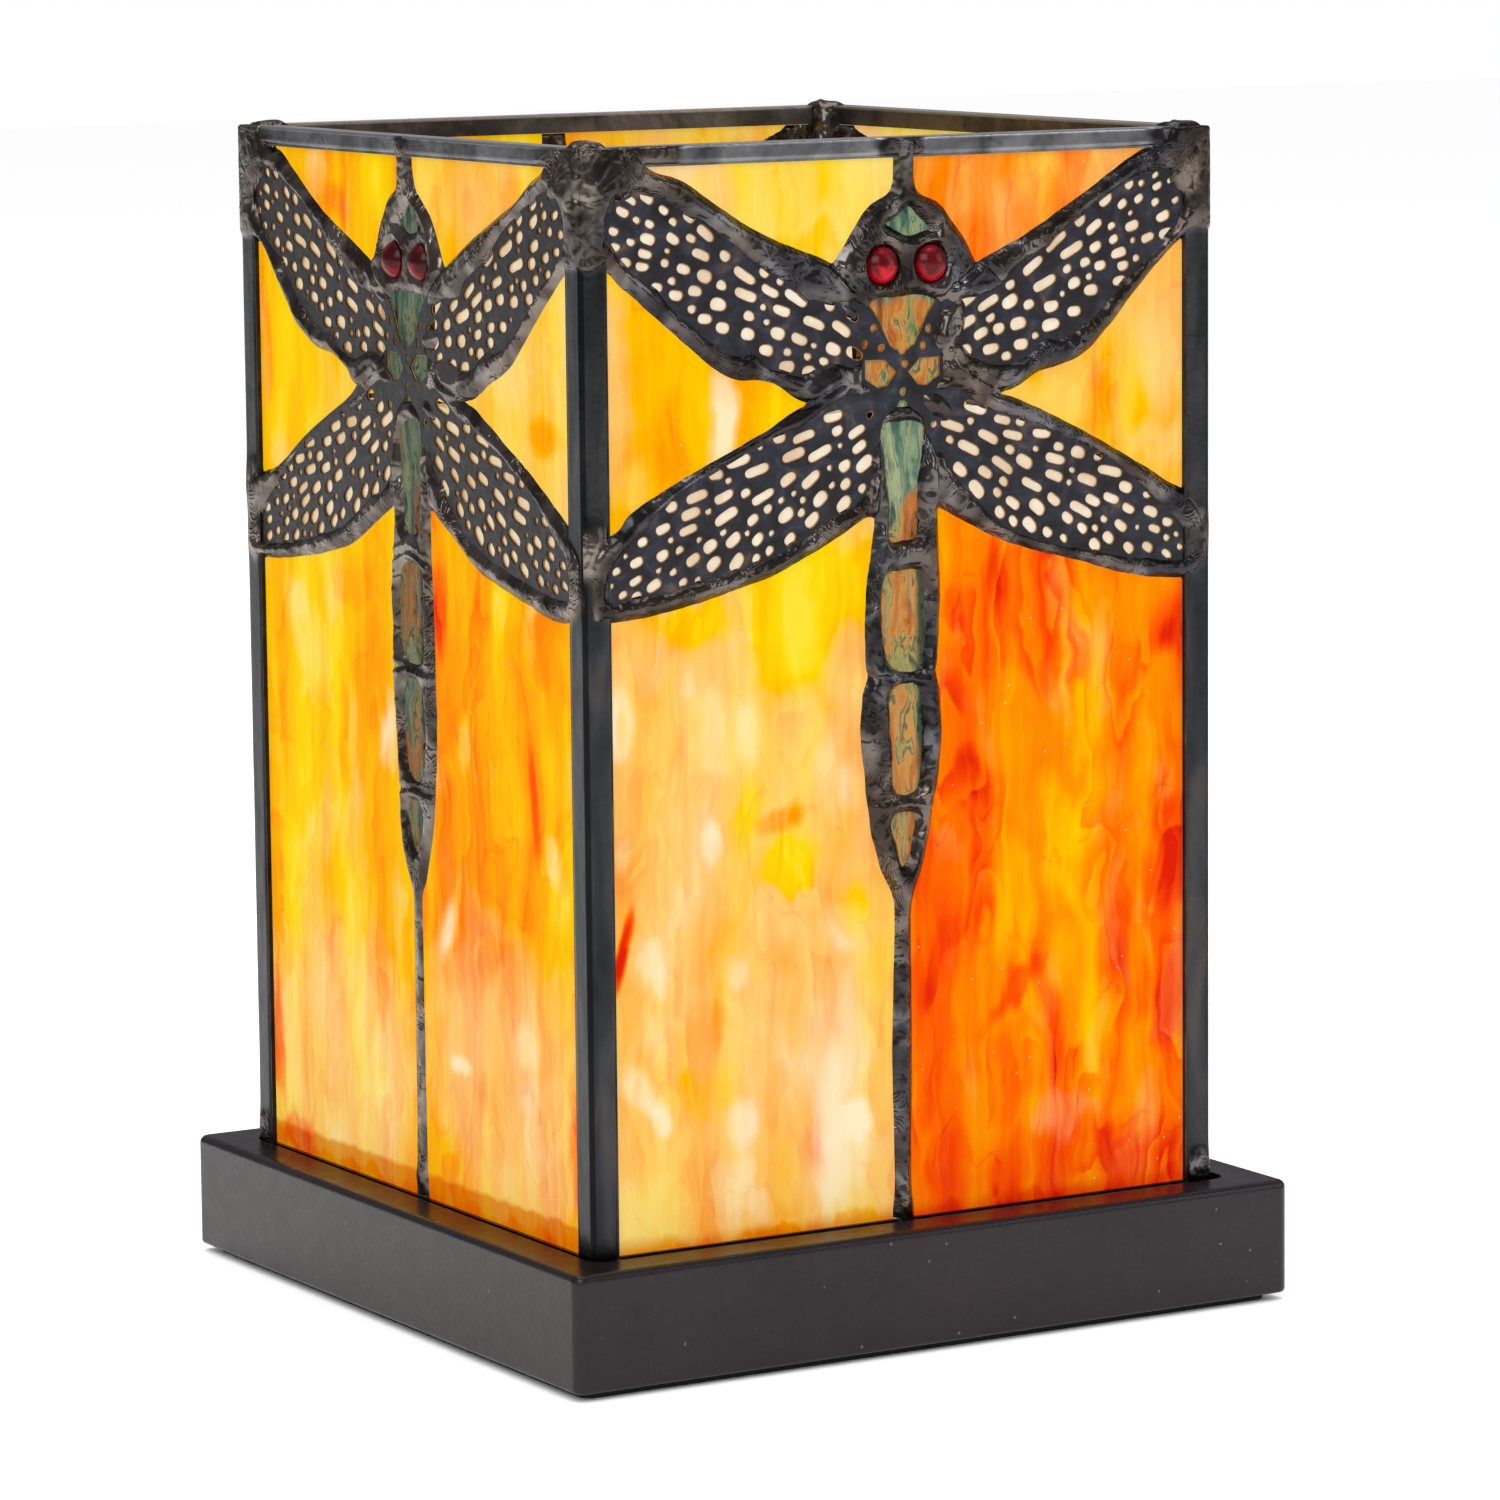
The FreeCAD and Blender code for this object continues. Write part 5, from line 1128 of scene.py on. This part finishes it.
FINISHES = {
    "eye_jewels": RUBY, "corner_channels": CAME, "level_channels": CAME, "corner_seams": SOLDER,
    "base_block": paint_material(),
    "felt_pad": plain_material("wool_felt", (16, 16, 17), (34, 33, 34), 0.0, 0.9, 2.0, 0.3),
    "cord_bushing": plain_material("black_bushing", (20, 20, 21), (34, 34, 34), 0.0, 0.45),
    "terminal_screws": BRASS, "socket_contact": BRASS, "socket_screw_shell": BRASS, "bulb_cap": BRASS,
    "mounting_nipple": ZINC, "nipple_nut": ZINC, "nipple_washer": ZINC, "socket_hub": ZINC, "bulb_tip": ZINC,
    "socket_body": PHENOLIC, "socket_core": PHENOLIC,
    "socket_liner": plain_material("fibre_sleeve", (150, 128, 92), (186, 164, 124), 0.0, 0.8),
    "bulb_insulator": plain_material("cap_glass", (10, 10, 14), (26, 26, 32), 0.0, 0.15),
    "bulb_glass": plain_material("frosted_bulb", (208, 152, 86), (226, 178, 116), 0.0, 0.4, 0.1, 0.05, 0.5),
    "bulb_stem": plain_material("stem_glass", (170, 170, 170), (220, 220, 215), 0.0, 0.15),
    "bulb_filament": plain_material("tungsten", (90, 90, 92), (130, 130, 132), 1.0, 0.4),
}
for node_name, finish in FINISHES.items():
    finish_cad(node_name, finish)


# ---- camera, light and floor ----
LIT_SPOT = Vector((0, 0, 0.1))
CAMERA_PLACE = (-0.5167, -0.8829, 0.2285)
CAMERA_ANGLES = (0.5331, 0.1394, -0.0102)      # turn from +Y to +X, downward tilt and roll, in radians


def camera():
    yaw, pitch, roll = CAMERA_ANGLES
    ahead = Vector((math.sin(yaw) * math.cos(pitch), math.cos(yaw) * math.cos(pitch), -math.sin(pitch)))
    right = Vector((math.cos(yaw), -math.sin(yaw), 0))
    up = right.cross(ahead)
    tilted_right = right * math.cos(roll) + up * math.sin(roll)
    tilted_up = up * math.cos(roll) - right * math.sin(roll)
    data = bpy.data.cameras.new("camera")
    data.lens = 156.0
    data.sensor_width = 36.0
    eye = placed("camera", data)
    turn = Matrix((tilted_right, tilted_up, -ahead)).transposed().to_4x4()
    eye.matrix_world = Matrix.Translation(CAMERA_PLACE) @ turn
    bpy.context.scene.camera = eye


def softbox(name, place, size, power):
    data = bpy.data.lights.new(name, "AREA")
    data.shape = "RECTANGLE"
    data.size = data.size_y = size
    data.energy = power
    lamp = placed(name, data)
    lamp.location = place
    lamp.rotation_euler = (LIT_SPOT - Vector(place)).to_track_quat("-Z", "Y").to_euler()


def studio():
    world = bpy.data.worlds.new("studio")
    world.use_nodes = True
    tree = world.node_tree
    mirrored_ray = add(tree, "ShaderNodeLightPath").outputs["Is Glossy Ray"]
    tree.links.new(mix(tree, mirrored_ray, (1.0, 1.0, 1.0), (0.24, 0.24, 0.25)),
                   tree.nodes["Background"].inputs["Color"])
    bpy.context.scene.world = world
    softbox("key", (-0.9, -0.9, 1.0), 0.9, 12)
    softbox("fill", (1.0, -0.8, 0.6), 0.8, 3.5)
    softbox("top", (0.1, 0.2, 1.3), 1.0, 10)
    bpy.context.scene.view_settings.view_transform = "Standard"
    mesh = bpy.data.meshes.new("floor")
    mesh.from_pydata([(-4, -4, 0), (4, -4, 0), (4, 4, 0), (-4, 4, 0)], [], [(0, 1, 2, 3)])
    floor = placed("floor", mesh)
    made, tree, shader = material("floor")
    shader.inputs["Base Color"].default_value = (0.97, 0.97, 0.97, 1)
    shader.inputs["Roughness"].default_value = 0.6
    shader.inputs["Specular IOR Level"].default_value = 0.0
    mesh.materials.append(made)


camera()
studio()
